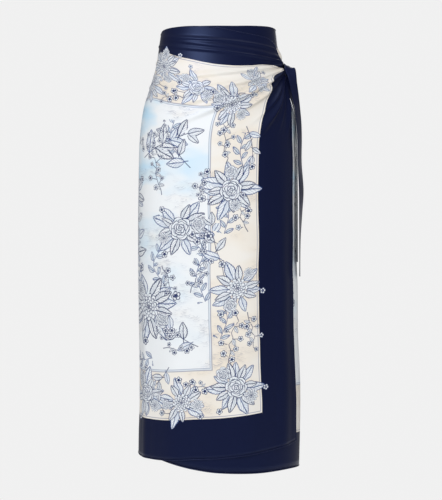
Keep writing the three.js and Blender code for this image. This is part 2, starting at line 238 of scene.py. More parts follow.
# The large folds and hanging waves are those of the solids
largeFolds = tableOf(
    foldColumns,
    (74, -50, -84, 2, -8, 6, 13, 3),
    (75, -59, -74, -22, -4, 5, 9, 2.5),
    (77, -66, -62, -108, -3, 4, 15, 4),
    (77, -69, -56, -144, -11, 4, 12, 5),
    (77, -72, -82, -178, -16, 4, 16, 5),
    (77, -74, -58, -232, 0, 5, 20, 9),
    (77, -77, -14, -226, 3, 5, 19, 6),
    (77, -79, 16, -262, -4, 5, 20, 6),
    (77, -81, 36, -176, -5, 4, 12, 5),
    (77, -83, 60, -245, 0, 4, 14, 5),
)
outerWaves = tableOf(
    waveColumns,
    (-63, -520, -960, 22, 2),
    (-32, -420, -960, 44, 3),
    (20, -330, -960, 50, 3.5),
    (52, -240, -960, 28, 3),
)
innerWaves = tableOf(waveColumns, (30, -700, -990, 40, 1))
backWaves = tableOf(
    waveColumns,
    (118, -150, -980, 34, 4),
    (147, -260, -980, 44, 6),
    (182, -210, -980, 40, 5),
    (214, -280, -980, 48, 6),
    (244, -180, -980, 30, 4),
)
backFolds = tableOf(
    foldColumns,
    (98, -62, 205, -120, -14, 9, 18, 4),
    (98, -78, 178, -200, -10, 9, 22, 5),
)

# Finer creases, which only the cloth in this scene has
fineFolds = tableOf(
    foldColumns,
    (70, -34, -88, -2, -1, 4, 8, 3.0),
    (76, -58, -8, -42, -3, 3, 5, 2.1),
    (76, -61, 20, -66, -2, 3, 5, 2.2),
    (76, -64, 0, -86, -2, 3, 5, 2.6),
    (77, -67, -30, -100, -4, 3, 6, 2.6),
    (77, -70, -24, -126, -9, 3, 5, 2.7),
    (77, -72, -64, -160, -14, 3, 6, 2.8),
    (77, -74, -8, -150, -8, 3, 6, 3.0),
    (77, -76, 6, -186, -6, 3, 6, 3.2),
    (77, -78, 16, -214, -6, 3, 7, 2.9),
    (77, -80, 30, -220, -5, 3, 7, 2.6),
    (77, -82, 46, -230, -2, 3, 7, 2.3),
    (77, -84, 66, -215, 1, 3, 6, 1.8),
    (-88, -24, -30, -36, 2, 5, 4, 1.6),
    (-88, -60, -34, -84, 3, 6, 5, 1.7),
    (-88, -112, -24, -112, -3, 7, 5, 1.6),
)
fineBackFolds = tableOf(
    foldColumns,
    (96, -56, 170, -40, 3, 5, 9, 1.8),
    (96, -66, 150, -92, -5, 4, 7, 1.8),
    (96, -70, 196, -158, -14, 4, 9, 2.2),
    (96, -76, 140, -168, -8, 4, 8, 1.8),
    (266, -40, 214, -52, 4, 6, 8, 1.6),
    (266, -88, 226, -120, -6, 6, 8, 1.5),
)


def ease(low, high, value):
    share = np.clip((value - low) / (high - low), 0, 1)
    return share * share * (3 - 2 * share)


def bump(distance):
    return np.where(np.abs(distance) < 1, (1 + np.cos(np.pi * np.clip(distance, -1, 1))) / 2, 0)


# A smooth curve through a table's rows, read at many values at once
def readTable(rows, column, values, key):
    table = sorted(rows, key=lambda row: row[key])
    keys = np.array([row[key] for row in table], float)
    read = np.array([row[column] for row in table], float)
    before = np.maximum(np.arange(len(keys)) - 1, 0)
    after = np.minimum(np.arange(len(keys)) + 1, len(keys) - 1)
    slopes = (read[after] - read[before]) / (keys[after] - keys[before])
    i = np.clip(np.searchsorted(keys, values, side="right") - 1, 0, len(keys) - 2)
    step = keys[i + 1] - keys[i]
    t = np.clip((values - keys[i]) / step, 0, 1)
    start = (2 * t**3 - 3 * t**2 + 1) * read[i] + (t**3 - 2 * t**2 + t) * step * slopes[i]
    end = (3 * t**2 - 2 * t**3) * read[i + 1] + (t**3 - t**2) * step * slopes[i + 1]
    return start + end


upperArcPerDegree = 2.5
lowerArcPerDegree = 2.7

# Where the outer panel stands off to reach the knot, and its corner that is drawn into it
knotLift = {"angle": 76, "z": -70, "radius": 58, "height": 6}
cornerLift = {"angle": 76, "z": -60, "radius": 17, "height": 4}
# Where the whole side is pulled out: at the tied hip, and where cloth bunches above the ties
sideLifts = [
    {"angle": 92, "z": -175, "radius": 85, "height": 6},
    {"angle": 88, "z": -47, "radius": 29, "height": 8},
]


def liftHeight(lift, angle, z):
    away = np.hypot((angle - lift["angle"]) * upperArcPerDegree, z - lift["z"])
    return lift["height"] * bump(away / lift["radius"])


def figurePoints(angle, z, ownOffset):
    offset = ownOffset + sum(liftHeight(lift, angle, z) for lift in sideLifts)
    turned = np.radians(angle)
    plain = readTable(figure, "plainSide", z, "z")
    tied = readTable(figure, "tieSide", z, "z")
    a = np.where(np.sin(turned) > 0, tied, plain)
    front = readTable(figure, "frontDepth", z, "z")
    back = readTable(figure, "backDepth", z, "z")
    b = np.where(np.cos(turned) > 0, front, back)
    nx, ny = np.sin(turned) / a, -np.cos(turned) / b
    size = np.hypot(nx, ny)
    x = a * np.sin(turned) + nx / size * offset
    y = -b * np.cos(turned) + ny / size * offset
    return np.stack([x, y, z + 0 * x], axis=-1)


# A ridge's section: 1 at its crest, rising softly from above and falling steeply below
def crest(distance):
    return bump(np.where(distance > 0, distance / 1.3, distance / 0.7))


def foldHeight(fold, angle, z):
    alongX = (fold["toAngle"] - fold["fromAngle"]) * upperArcPerDegree
    alongZ = fold["toZ"] - fold["fromZ"]
    x = (angle - fold["fromAngle"]) * upperArcPerDegree
    y = z - fold["fromZ"]
    length = math.hypot(alongX, alongZ)
    share = np.clip((x * alongX + y * alongZ) / length**2, 0, 1)
    across = (abs(alongX) * y - np.sign(alongX) * alongZ * x) / length
    middle = fold["sag"] * 4 * share * (1 - share)
    width = fold["fromWidth"] + (fold["toWidth"] - fold["fromWidth"]) * share
    strength = ease(0, 0.05, share) * (1 - ease(0.45, 1, share))
    return fold["height"] * strength * crest((across - middle) / width)


def waveHeight(wave, angle, z):
    above = ease(wave["toZ"] * 0.4 + wave["fromZ"] * 0.6, wave["fromZ"], z)
    away = (angle - wave["angle"]) * lowerArcPerDegree / wave["width"]
    return wave["height"] * (1 - above) * bump(away)


# Large folds, hanging waves, fine creases and the dip of the side seams
def relief(large, hanging, fine, angle, z):
    raised = 0 * angle * z
    for fold in large:
        raised = np.maximum(raised, foldHeight(fold, angle, z))
    for wave in hanging:
        raised = raised + waveHeight(wave, angle, z)
    for fold in fine:
        raised = raised + foldHeight(fold, angle, z)
    for seam in (plainSeam, tiedSeam, plainSeam + 360):
        raised = raised - seamSet["dip"] * bump((angle - seam) * lowerArcPerDegree / seamSet["width"])
    return raised


seamSet = {"dip": 0.7, "width": 3}
# The outer panel leaves its seam flat and rises over the inner one
overlap = {"fromAngle": -89, "toAngle": -62, "rise": 2.4}


def outerOffset(angle, z):
    rise = overlap["rise"] * ease(overlap["fromAngle"], overlap["toAngle"], angle)
    drawnOut = liftHeight(knotLift, angle, z) + liftHeight(cornerLift, angle, z)
    return rise + drawnOut + relief(largeFolds, outerWaves, fineFolds, angle, z)


# Flat lengths of cloth on the figure without its folds: round it and up it
roundStep = 1.5
upStep = 10
roundAngles = np.arange(plainSeam, plainSeam + 361, roundStep)
roundHeights = np.arange(-960, 41, upStep)


def flatLengths():
    angle, z = np.meshgrid(roundAngles, roundHeights, indexing="ij")
    points = figurePoints(angle, z, 0)
    steps = np.linalg.norm(np.diff(points, axis=0), axis=-1)
    roundIt = np.concatenate([np.zeros((1, len(roundHeights))), np.cumsum(steps, axis=0)])
    front = points[len(roundAngles) // 8]  # a line up the front, 45 degrees from the plain seam
    upIt = np.concatenate([[0], np.cumsum(np.linalg.norm(np.diff(front, axis=0), axis=1))])
    return roundIt, upIt


roundLengths, upLengths = flatLengths()


def flatRound(angle, z):
    i = np.clip((angle - roundAngles[0]) / roundStep, 0, len(roundAngles) - 1.001)
    j = np.clip((z - roundHeights[0]) / upStep, 0, len(roundHeights) - 1.001)
    low, left = i.astype(int), j.astype(int)
    s, t = i - low, j - left
    first = roundLengths[low, left] * (1 - s) + roundLengths[low + 1, left] * s
    second = roundLengths[low, left + 1] * (1 - s) + roundLengths[low + 1, left + 1] * s
    return first * (1 - t) + second * t


def flatUp(z):
    return np.interp(z, roundHeights, upLengths)


# cloth meshes

# The fabric map holds each corner's place on the flat cloth, in metres
def layFabric(mesh, places):
    layer = mesh.uv_layers.new(name="fabric")
    corners = np.zeros(len(mesh.loops), np.int32)
    mesh.loops.foreach_get("vertex_index", corners)
    layer.data.foreach_set("uv", (places[corners] * mm).ravel().astype(np.float32))


# points is columns x rows x 3 in millimetres; columns run to the right and rows down, as seen
# from outside
def gridMesh(name, points, coordinates):
    columns, rows = points.shape[:2]
    index = np.arange(columns * rows).reshape(columns, rows)
    faces = np.stack(
        [index[:-1, :-1], index[:-1, 1:], index[1:, 1:], index[1:, :-1]], axis=-1
    ).reshape(-1, 4)
    mesh = bpy.data.meshes.new(name)
    mesh.from_pydata((points.reshape(-1, 3) * mm).tolist(), [], faces.tolist())
    piece = bpy.data.objects.new(name, mesh)
    scene.collection.objects.link(piece)
    layFabric(mesh, coordinates["uv"].reshape(-1, 2))
    for key in ("fromTop", "fromEdge"):
        if key in coordinates:
            distance = mesh.attributes.new(key, "FLOAT", "POINT")
            distance.data.foreach_set("value", (coordinates[key].ravel() * mm).astype(np.float32))
    return piece


# Places from 0 to 1, each stretch given as its number of cells and where it ends
def shares(*stretches):
    places = [0.0]
    for count, end in stretches:
        start = places[-1]
        places += [start + (end - start) * (i + 1) / count for i in range(count)]
    return np.array(places)


def lengthsAlong(points, axis):
    steps = np.linalg.norm(np.diff(points, axis=axis), axis=-1)
    pad = [(0, 0), (0, 0)]
    pad[axis] = (1, 0)
    return np.pad(np.cumsum(steps, axis=axis), pad)


def applyModifiers(piece):
    bpy.context.view_layer.objects.active = piece
    for modifier in list(piece.modifiers):
        bpy.ops.object.modifier_apply(modifier=modifier.name)


def makeThin(piece, thickness):
    wall = piece.modifiers.new("wall", "SOLIDIFY")
    wall.thickness = thickness * mm
    wall.offset = -1
    wall.use_even_offset = False
    wall.material_offset = 1
    applyModifiers(piece)
    piece.data.shade_smooth()


clothSet = {
    "thickness": 0.5,
    "frontAcross": ((84, 0.5), (106, 0.93), (30, 1)),
    "frontDown": ((124, 0.28), (22, 0.42), (64, 1)),
    "hungDown": ((96, 0.28), (50, 1)),
}
# Widths of the dark borders, of the band inside them and of its lines, as the cloth lies flat
printSet = {
    "side": 90,
    "top": 85,
    "hem": 84,
    "underHem": 74,
    "band": 104,
    "line": 1.3,
    "rule": 2,
    "rim": 4,
}

# How far the dark border reaches below the top edge and in from the free edge, as gathered
borderDrop = tableOf(
    ("angle", "drop"),
    (-90, 45), (-60, 52), (-30, 70), (0, 82), (30, 75), (45, 69), (60, 66), (66, 59), (72, 42),
    (77, 26),
)
borderReach = tableOf(
    ("z", "reach"),
    (-78, 4), (-83, 14), (-90, 30), (-94, 38), (-106, 50), (-119, 55), (-135, 62), (-152, 71),
    (-177, 79), (-201, 86), (-235, 91), (-300, 92), (-950, 92),
)
hungBorderDrop = tableOf(
    ("angle", "drop"),
    (-50, 80), (60, 60), (75, 45), (90, 36), (120, 60), (180, 78), (270, 45),
)


def borderScaled(distance, gathered, flat):
    # within the border the cloth is gathered, so its flat width shows as the gathered one
    return np.where(distance < gathered, distance * flat / gathered, distance - gathered + flat)


def frontWrap():
    across, down = shares(*clothSet["frontAcross"]), shares(*clothSet["frontDown"])
    u, w = np.meshgrid(across, down, indexing="ij")
    angle = plainSeam + (freeEdge[0]["angle"] - plainSeam) * u
    for _ in range(3):  # the free edge's angle and the height on it settle together
        top = readTable(outerTop, "z", angle, "angle")
        z = top + (readTable(outerHem, "z", angle, "angle") - top) * w
        angle = plainSeam + (readTable(freeEdge, "angle", z, "z") - plainSeam) * u
    points = figurePoints(angle, z, outerOffset(angle, z))
    flatSide = flatRound(readTable(freeEdge, "angle", z, "z"), z) - flatRound(angle, z)
    reach = readTable(borderReach, "reach", z, "z")
    drop = readTable(borderDrop, "drop", angle, "angle")
    fromEdge = borderScaled(flatSide, reach, printSet["side"])
    fromTop = borderScaled(lengthsAlong(points, 1), drop, printSet["top"])
    flatHem = flatUp(z) - flatUp(readTable(outerHem, "z", angle, "angle"))
    coordinates = {"uv": np.stack([flatSide, flatHem], -1), "fromTop": fromTop, "fromEdge": fromEdge}
    cloth = gridMesh("front_wrap_cloth", points, coordinates)
    edge = np.concatenate([points[:, 0], points[-1, 1:], points[-2::-1, -1]])
    return cloth, edge


def hungPanel(name, fromAngle, toAngle, columns, large, hanging, fine):
    u, w = np.meshgrid(shares((columns, 1)), shares(*clothSet["hungDown"]), indexing="ij")
    angle = fromAngle + (toAngle - fromAngle) * u
    top = readTable(innerTop, "z", angle, "angle")
    z = top + (readTable(innerHem, "z", angle, "angle") - top) * w
    points = figurePoints(angle, z, relief(large, hanging, fine, angle, z))
    drop = readTable(hungBorderDrop, "drop", angle, "angle")
    fromTop = borderScaled(lengthsAlong(points, 1), drop, printSet["top"])
    flatSide = flatRound(angle, z) - flatRound(fromAngle + 0 * z, z)
    flatHem = flatUp(z) - flatUp(readTable(innerHem, "z", angle, "angle"))
    cloth = gridMesh(name, points, {"uv": np.stack([flatSide, flatHem], -1), "fromTop": fromTop})
    return cloth, points


outer, outerEdge = frontWrap()
inner, innerPoints = hungPanel("under_front_cloth", -50, tiedSeam, 110, [], innerWaves, [])
back, backPoints = hungPanel(
    "back_panel_cloth", tiedSeam, plainSeam + 360, 190, backFolds, backWaves, fineBackFolds
)
print("cloth panels are shaped")


# rolled hems

hemSet = {
    "radius": 1.1,
    "inset": 0.35,
    "sides": 8,
    "step": 2.6,
    "stitchPitch": 5,
    "stitchWidth": 0.12,
    "stitchStrength": 0.5,
}


def evenPlaces(path, step):
    lengths = np.concatenate([[0], np.cumsum(np.linalg.norm(np.diff(path, axis=0), axis=1))])
    at = np.linspace(0, lengths[-1], max(int(lengths[-1] / step), 2))
    return np.stack([np.interp(at, lengths, path[:, k]) for k in range(3)], -1), at


# A thin roll of cloth along each path, all in one piece. Its map goes from 0 to 1 round the roll
def hemRoll(name, *paths):
    points, places, faces = [], [], []
    sides = hemSet["sides"]
    turn = np.arange(sides) * 2 * np.pi / sides
    for path in paths:
        inward = path * (-1, -1, 0)
        inward /= np.linalg.norm(inward, axis=1, keepdims=True)
        line, at = evenPlaces(path + inward * hemSet["inset"], hemSet["step"])
        along = np.gradient(line, axis=0)
        along /= np.linalg.norm(along, axis=1, keepdims=True)
        outward = line * (1, 1, 0)
        outward -= along * (outward * along).sum(1, keepdims=True)
        outward /= np.linalg.norm(outward, axis=1, keepdims=True)
        third = np.cross(along, outward)
        ring = np.cos(turn)[:, None] * outward[:, None] + np.sin(turn)[:, None] * third[:, None]
        first, count = len(points), len(line)
        points += (line[:, None] + ring * hemSet["radius"]).reshape(-1, 3).tolist()
        rounds = np.broadcast_to(turn / (2 * np.pi) / mm, ring.shape[:2])
        lengths = np.broadcast_to(at[:, None], ring.shape[:2])
        places += np.stack([rounds, lengths], -1).reshape(-1, 2).tolist()
        for i in range(count - 1):
            for j in range(sides):
                k = (j + 1) % sides
                a, b = first + i * sides, first + (i + 1) * sides
                faces.append((a + j, a + k, b + k, b + j))
        faces.append([first + j for j in range(sides)][::-1])
        faces.append([first + (count - 1) * sides + j for j in range(sides)])
    mesh = bpy.data.meshes.new(name)
    mesh.from_pydata((np.array(points) * mm).tolist(), [], faces)
    layFabric(mesh, np.array(places))
    piece = bpy.data.objects.new(name, mesh)
    scene.collection.objects.link(piece)
    mesh.shade_smooth()
    return piece


outerHemRoll = hemRoll("front_wrap_hem", outerEdge)
innerEdge = np.concatenate([innerPoints[::-1, 0], innerPoints[0, 1:], innerPoints[1:, -1]])
innerHemRoll = hemRoll("under_front_hem", innerEdge)
backHemRoll = hemRoll("back_panel_hem", backPoints[:, 0], backPoints[:, -1])
print("hems are rolled")


# ties

tieSet = {
    "thickness": 2.0,
    "ring": 28,
    "roundness": 0.55,
    "pleats": 2.6,
    "ripple": 0.5,
    "rippleTo": 0.7,
}
tieColumns = ("x", "y", "z", "width", "turn", "dip")


# A circle drawn out towards a square, along one of its axes
def squared(values):
    return np.sign(values) * np.abs(values) ** tieSet["roundness"]


# Sweeps a soft flat section along a line; side is the direction of its width and face its outside
def bandMesh(name, line, side, face, width, thickness, hug, ripples, closed):
    samples, ring = len(line), tieSet["ring"]
    turnRound = np.arange(ring) * 2 * np.pi / ring
    flat, deep = squared(np.cos(turnRound)), squared(np.sin(turnRound))
    crease = ripples[:, None] * np.cos(flat * tieSet["pleats"] * np.pi) - hug * flat**2
    across = flat * width[:, None] / 2
    points = (
        line[:, None]
        + side[:, None] * across[..., None]
        + face[:, None] * (deep * thickness / 2 + crease)[..., None]
    )
    index = np.arange(samples * ring).reshape(samples, ring)
    faces = []
    for i in range(samples if closed else samples - 1):
        for j in range(ring):
            k, after = (j + 1) % ring, (i + 1) % samples
            corners = index[i, j], index[after, j], index[after, k], index[i, k]
            faces.append([int(v) for v in corners])
    if not closed:
        faces.append([int(v) for v in index[0]])
        faces.append([int(v) for v in index[-1][::-1]])
    mesh = bpy.data.meshes.new(name)
    mesh.from_pydata((points.reshape(-1, 3) * mm).tolist(), [], faces)
    piece = bpy.data.objects.new(name, mesh)
    scene.collection.objects.link(piece)
    lengths = np.concatenate([[0], np.cumsum(np.linalg.norm(np.diff(line, axis=0), axis=1))])
    layFabric(mesh, np.stack(np.broadcast_arrays(across, lengths[:, None]), -1).reshape(-1, 2))
    mesh.shade_smooth()
    return piece


# turn is the direction of the width, 0 along X and 90 along Y, and dip its slope down
def strap(name, rows, samples):
    at = np.linspace(0, len(rows) - 1, samples)
    table = [dict(row, step=i) for i, row in enumerate(rows)]
    line = np.stack([readTable(table, key, at, "step") for key in "xyz"], -1)
    width = readTable(table, "width", at, "step")
    turn = np.radians(readTable(table, "turn", at, "step"))
    dip = np.radians(readTable(table, "dip", at, "step"))
    along = np.gradient(line, axis=0)
    along /= np.linalg.norm(along, axis=1, keepdims=True)
    wanted = np.stack([np.cos(turn) * np.cos(dip), np.sin(turn) * np.cos(dip), -np.sin(dip)], -1)
    face = np.cross(along, wanted)
    face /= np.linalg.norm(face, axis=1, keepdims=True)
    side = np.cross(face, along)
    fading = ease(0, samples * tieSet["rippleTo"], np.arange(samples))
    ripples = tieSet["ripple"] * (1 - fading)
    return bandMesh(name, line, side, face, width, tieSet["thickness"], 0, ripples, False)


# The long end comes over the knot from behind and falls in front of it
longTail = tableOf(
    tieColumns,
    (151, -13.5, -76, 19, 0, 24),
    (152, -17, -69, 22, 0, 27),
    (152.2, -26, -67.8, 23, 0, 27),
    (153.8, -37, -72, 22.5, 0, 27),
    (157, -40.5, -79.5, 23, 4, 22),
    (160, -41, -90, 20, 14, 12),
    (163, -40, -106, 19, 30, 4),
    (166.2, -38, -124, 20, 40, 0),
    (169, -36, -141, 22, 50, 0),
    (172, -33, -158, 25, 60, 0),
    (175.2, -30, -190, 28, 64, 0),
    (177, -28, -225, 29, 68, 0),
    (177.4, -27, -275, 29, 71, 0),
    (180.6, -27, -335, 30, 68, 0),
    (179.4, -27, -385, 30, 75, 0),
    (177.8, -27, -443, 30, 83, 0),
    (177.4, -27, -521, 30, 88, 0),
)
shortTail = tableOf(
    tieColumns,
    (152.5, -28, -90, 12, 10, 0),
    (153.8, -29, -106, 15, 20, 0),
    (157, -28, -120, 18, 38, 0),
    (162.4, -25, -140, 20, 62, 0),
    (167.6, -24, -165, 24, 78, 0),
    (170.2, -23, -205, 26, 82, 0),
    (171.8, -24, -265, 27, 83, 0),
    (172.2, -28, -340, 28, 84, 0),
    (171.9, -28, -415, 28, 84, 0),
    (171.8, -28, -490, 28, 84, 0),
)
longTie = strap("tie_tail_long_cloth", longTail, 190)
shortTie = strap("tie_tail_short_cloth", shortTail, 120)

stubRows = tableOf(
    ("angle", "z", "width", "offset"),
    (82.4, -80, 13, 13),
    (84, -76.5, 17, 9.5),
    (86, -71.5, 22, 5.6),
    (89, -69, 26, 3.8),
    (92.5, -68, 29, 3.4),
)
stubSet = {"along": 24, "across": 20, "pleats": 6, "pleatHeight": 0.6, "thickness": 2.0}


def tieStub():
    cells = shares((stubSet["along"], 1)), shares((stubSet["across"], 1))
    u, w = np.meshgrid(*cells, indexing="ij")
    first, last = stubRows[0]["angle"], stubRows[-1]["angle"]
    angle = first + (last - first) * u
    width = readTable(stubRows, "width", angle, "angle")
    z = readTable(stubRows, "z", angle, "angle") + width * (0.5 - w)
    pleat = stubSet["pleatHeight"] * np.cos(w * stubSet["pleats"] * np.pi) * (1 - u)
    points = figurePoints(angle, z, readTable(stubRows, "offset", angle, "angle") + pleat)
    uv = np.stack([lengthsAlong(points, 0), lengthsAlong(points, 1)], -1)
    return gridMesh("tie_stub_cloth", points, {"uv": uv})


stubCloth = tieStub()

# The knot: a lump with the tie's turns laid round it
knotSet = {
    "centre": (151.8, -27, -80),
    "half": (9.8, 9.6, 9.0),
    "lean": 20,
    "steps": 72,
    "turnThickness": 2.2,
    "hug": 1.6,
}
knotTurns = tableOf(
    ("tilt", "lean", "radii", "width", "shift"),
    ((90, 0, 0), 20, (10.2, 9.4), 12, (0, 0, 0)),
    ((58, 0, 24), 14, (10.4, 9.8), 10, (0.5, 0, 1)),
    ((0, 74, 0), 24, (9.6, 9.9), 9, (-2.5, 0, 0.5)),
)


def knotTurn(laid, number):
    tilt = Euler([math.radians(value) for value in laid["tilt"]]).to_matrix()
    lean = Euler((0, math.radians(laid["lean"]), 0)).to_matrix()
    axes = np.array(lean @ tilt)
    turn = np.arange(knotSet["steps"]) * 2 * np.pi / knotSet["steps"]
    first = np.cos(turn)[:, None] * axes[:, 0]
    second = np.sin(turn)[:, None] * axes[:, 1]
    middle = np.array(knotSet["centre"]) + np.array(laid["shift"])
    line = middle + first * laid["radii"][0] + second * laid["radii"][1]
    side = np.tile(-axes[:, 2], (knotSet["steps"], 1))
    width = laid["width"] * (1 + 0.12 * np.cos(turn * 2 + number))
    ripples = 0.4 + 0.15 * np.cos(turn * 3 + number)
    sizes = width, knotSet["turnThickness"], knotSet["hug"], ripples
    return bandMesh("knotTurn", line, side, first + second, *sizes, True)


def tieKnot():
    bpy.ops.mesh.primitive_uv_sphere_add(segments=48, ring_count=30, radius=1, location=(0, 0, 0))
    core = bpy.context.object
    core.name = "tie_knot_cloth"
    lean = Euler((0, math.radians(knotSet["lean"]), 0)).to_matrix()
    for vertex in core.data.vertices:
        p = vertex.co
        swell = 1 + 0.03 * math.cos(p.z * 11 + p.x * 2) + 0.02 * math.cos(p.y * 9 - p.z * 4)
        sized = Vector([value * half for value, half in zip(p, knotSet["half"])])
        vertex.co = (Vector(knotSet["centre"]) + lean @ sized * swell) * mm
    core.data.uv_layers[0].name = "fabric"
    core.data.shade_smooth()
    bpy.ops.object.select_all(action="DESELECT")
    for number, laid in enumerate(knotTurns):
        knotTurn(laid, number).select_set(True)
    core.select_set(True)
    bpy.context.view_layer.objects.active = core
    bpy.ops.object.join()
    bpy.ops.object.select_all(action="DESELECT")
    return core


knotCloth = tieKnot()
print("ties and knot are shaped")


# print on the cloth: where each motif lies, in millimetres of cloth

# How far past its rim a motif is drawn, a leaf's half width as a share of its length, how
# closely a stem is followed and how far from it a vine or twig is drawn
reachSet = {"past": 7, "pastShare": 0.1, "leafHalf": 0.2, "stemSteps": 24, "vine": 26, "twig": 9}
noPlace = 9.0


def cornerPlaces(piece):
    mesh = piece.data
    uv = np.zeros(len(mesh.loops) * 2, np.float32)
    mesh.uv_layers["fabric"].data.foreach_get("uv", uv)
    return uv.reshape(-1, 4, 2).astype(float) / mm


def storePlaces(piece, name, places):
    attribute = piece.data.attributes.new(name, "FLOAT_VECTOR", "CORNER")
    attribute.data.foreach_set("vector", places.astype(np.float32).ravel())


# Each face takes the motif whose rim it lies nearest to. The place is in motif sizes, x along it
def placeMotifs(piece, name, motifs, long):
    corners = cornerPlaces(piece)
    middles = corners.mean(axis=1)
    best = np.full(len(middles), np.inf)
    places = np.full((*corners.shape[:2], 3), noPlace)
    for laid in motifs:
        turn = math.radians(laid["turn"])
        spin = np.array([[math.cos(turn), -math.sin(turn)], [math.sin(turn), math.cos(turn)]])
        start = np.array([laid["u"], laid["v"]])
        size = laid["size"]
        local = (middles - start) @ spin
        if long:
            beyond = np.maximum(np.abs(local[:, 0] - size / 2) - size / 2, 0)
            toRim = np.hypot(beyond, local[:, 1]) - size * reachSet["leafHalf"]
        else:
            toRim = np.hypot(local[:, 0], local[:, 1]) - size
        near = (toRim < best) & (toRim < reachSet["past"] + size * reachSet["pastShare"])
        best = np.where(near, toRim, best)
        places[near, :, :2] = (corners[near] - start) @ spin / size
        places[near, :, 2] = laid["seed"] * 5
    storePlaces(piece, name, places)


# A stem gives each face the length along it and the distance from it
def placeStems(piece, name, stems, reach):
    corners = cornerPlaces(piece)
    middles = corners.mean(axis=1)
    best = np.full(len(middles), np.inf)
    places = np.full((*corners.shape[:2], 3), noPlace)
    for stem in stems:
        rows = [{"u": u, "v": v, "step": i} for i, (u, v) in enumerate(stem)]
        at = np.linspace(0, len(rows) - 1, reachSet["stemSteps"] * len(rows))
        line = np.stack([readTable(rows, key, at, "step") for key in "uv"], -1)
        steps = np.linalg.norm(np.diff(line, axis=0), axis=1)
        lengths = np.concatenate([[0], np.cumsum(steps)])
        along = np.gradient(line, axis=0)
        along /= np.linalg.norm(along, axis=1, keepdims=True)
        low, high = line.min(axis=0) - reach, line.max(axis=0) + reach
        nearby = np.flatnonzero(((middles > low) & (middles < high)).all(axis=1))
        gaps = np.linalg.norm(middles[nearby, None] - line[None], axis=-1)
        gap = gaps.min(axis=1)
        closer = (gap < best[nearby]) & (gap < reach)
        near = nearby[closer]
        best[near] = gap[closer]
        foot = gaps.argmin(axis=1)[closer]
        away = corners[near] - line[foot][:, None]
        alongIt = (away * along[foot][:, None]).sum(-1) + lengths[foot][:, None]
        across = away[..., 1] * along[foot][:, None, 0] - away[..., 0] * along[foot][:, None, 1]
        places[near, :, 0] = alongIt * mm
        places[near, :, 1] = across * mm
        places[near, :, 2] = lengths[-1] * mm
    storePlaces(piece, name, places)


kinds = ("roses", "dahlias", "blossoms", "leaves", "lowLeaves", "vines", "twigs")


def motif(u, v, size, turn, seed):
    return {"u": u, "v": v, "size": size, "turn": turn, "seed": seed}


def aside(u, v, away, turn):
    return u + away * math.cos(math.radians(turn)), v + away * math.sin(math.radians(turn))


# A bouquet: one large flower with smaller ones beside it, leaves round them and buds further out
def bouquet(kind, u, v, size, turn, seed, leaves=7, beside=2):
    pick = random.Random(seed)
    made = {key: [] for key in kinds}
    made[kind].append(motif(u, v, size, turn, pick.random()))
    other = "dahlias" if kind == "roses" else "roses"
    for i in range(beside):
        place = aside(u, v, size * pick.uniform(1.5, 1.75), turn + 30 + 165 * i)
        smaller = size * pick.uniform(0.52, 0.72)
        made[other if i else kind].append(motif(*place, smaller, pick.uniform(0, 360), pick.random()))
    for i in range(leaves):
        way = turn + 360 * i / leaves + pick.uniform(-14, 14)
        place = aside(u, v, size * 0.7, way)
        length = size * pick.uniform(1.25, 1.75)
        made["leaves"].append(motif(*place, length, way + pick.uniform(-20, 20), pick.random()))
        between = way + 180 / leaves
        place = aside(u, v, size * 0.9, between)
        length = size * pick.uniform(1.4, 2.1)
        turned = between + pick.uniform(-25, 25)
        made["lowLeaves"].append(motif(*place, length, turned, pick.random()))
        if i % 2:
            bud = aside(u, v, size * pick.uniform(2.4, 2.9), way + 20)
            small = size * pick.uniform(0.26, 0.36)
            made["blossoms"].append(motif(*bud, small, pick.uniform(0, 360), pick.random()))
            made["twigs"].append([aside(u, v, size, way), aside(u, v, size * 1.7, way + 6), bud])
    return made


# A spray: a curved stem with large leaves to both sides of it
def spray(u, v, length, turn, seed, leaves=5, bend=25):
    pick = random.Random(seed)
    made = {key: [] for key in kinds}
    stem = [(u, v)]
    for i in range(leaves):
        heading = turn + bend * (i / leaves - 0.5)
        stem.append(aside(*stem[-1], length / leaves, heading))
        lean = heading + (52 if i % 2 else -52) * pick.uniform(0.75, 1.15)
        size = length * pick.uniform(0.32, 0.42) * (1.1 - 0.35 * i / leaves)
        made["leaves" if i % 3 else "lowLeaves"].append(motif(*stem[-1], size, lean, pick.random()))
    made["leaves"].append(motif(*stem[-1], length * 0.3, turn + bend / 2, pick.random()))
    made["twigs"].append(stem)
    return made


# A twig: a thin forked stem with small blossoms
def twig(u, v, length, turn, seed, blossoms=7):
    pick = random.Random(seed)
    made = {key: [] for key in kinds}
    stem = [(u, v)]
    for i in range(blossoms):
        heading = turn + pick.uniform(-28, 28)
        stem.append(aside(*stem[-1], length / blossoms, heading))
        side = heading + (58 if i % 2 else -58)
        end = aside(*stem[-1], length * pick.uniform(0.1, 0.2), side)
        size, turned = pick.uniform(4.2, 6.8), pick.uniform(0, 360)
        made["blossoms"].append(motif(*end, size, turned, pick.random()))
        if i % 2:
            size = length * pick.uniform(0.13, 0.2)
            made["leaves"].append(motif(*stem[-1], size, side + 70, pick.random()))
        made["twigs"].append([stem[-1], end])
    made["twigs"].append(stem)
    return made


def gather(*parts):
    return {key: [found for made in parts for found in made.get(key, [])] for key in kinds}


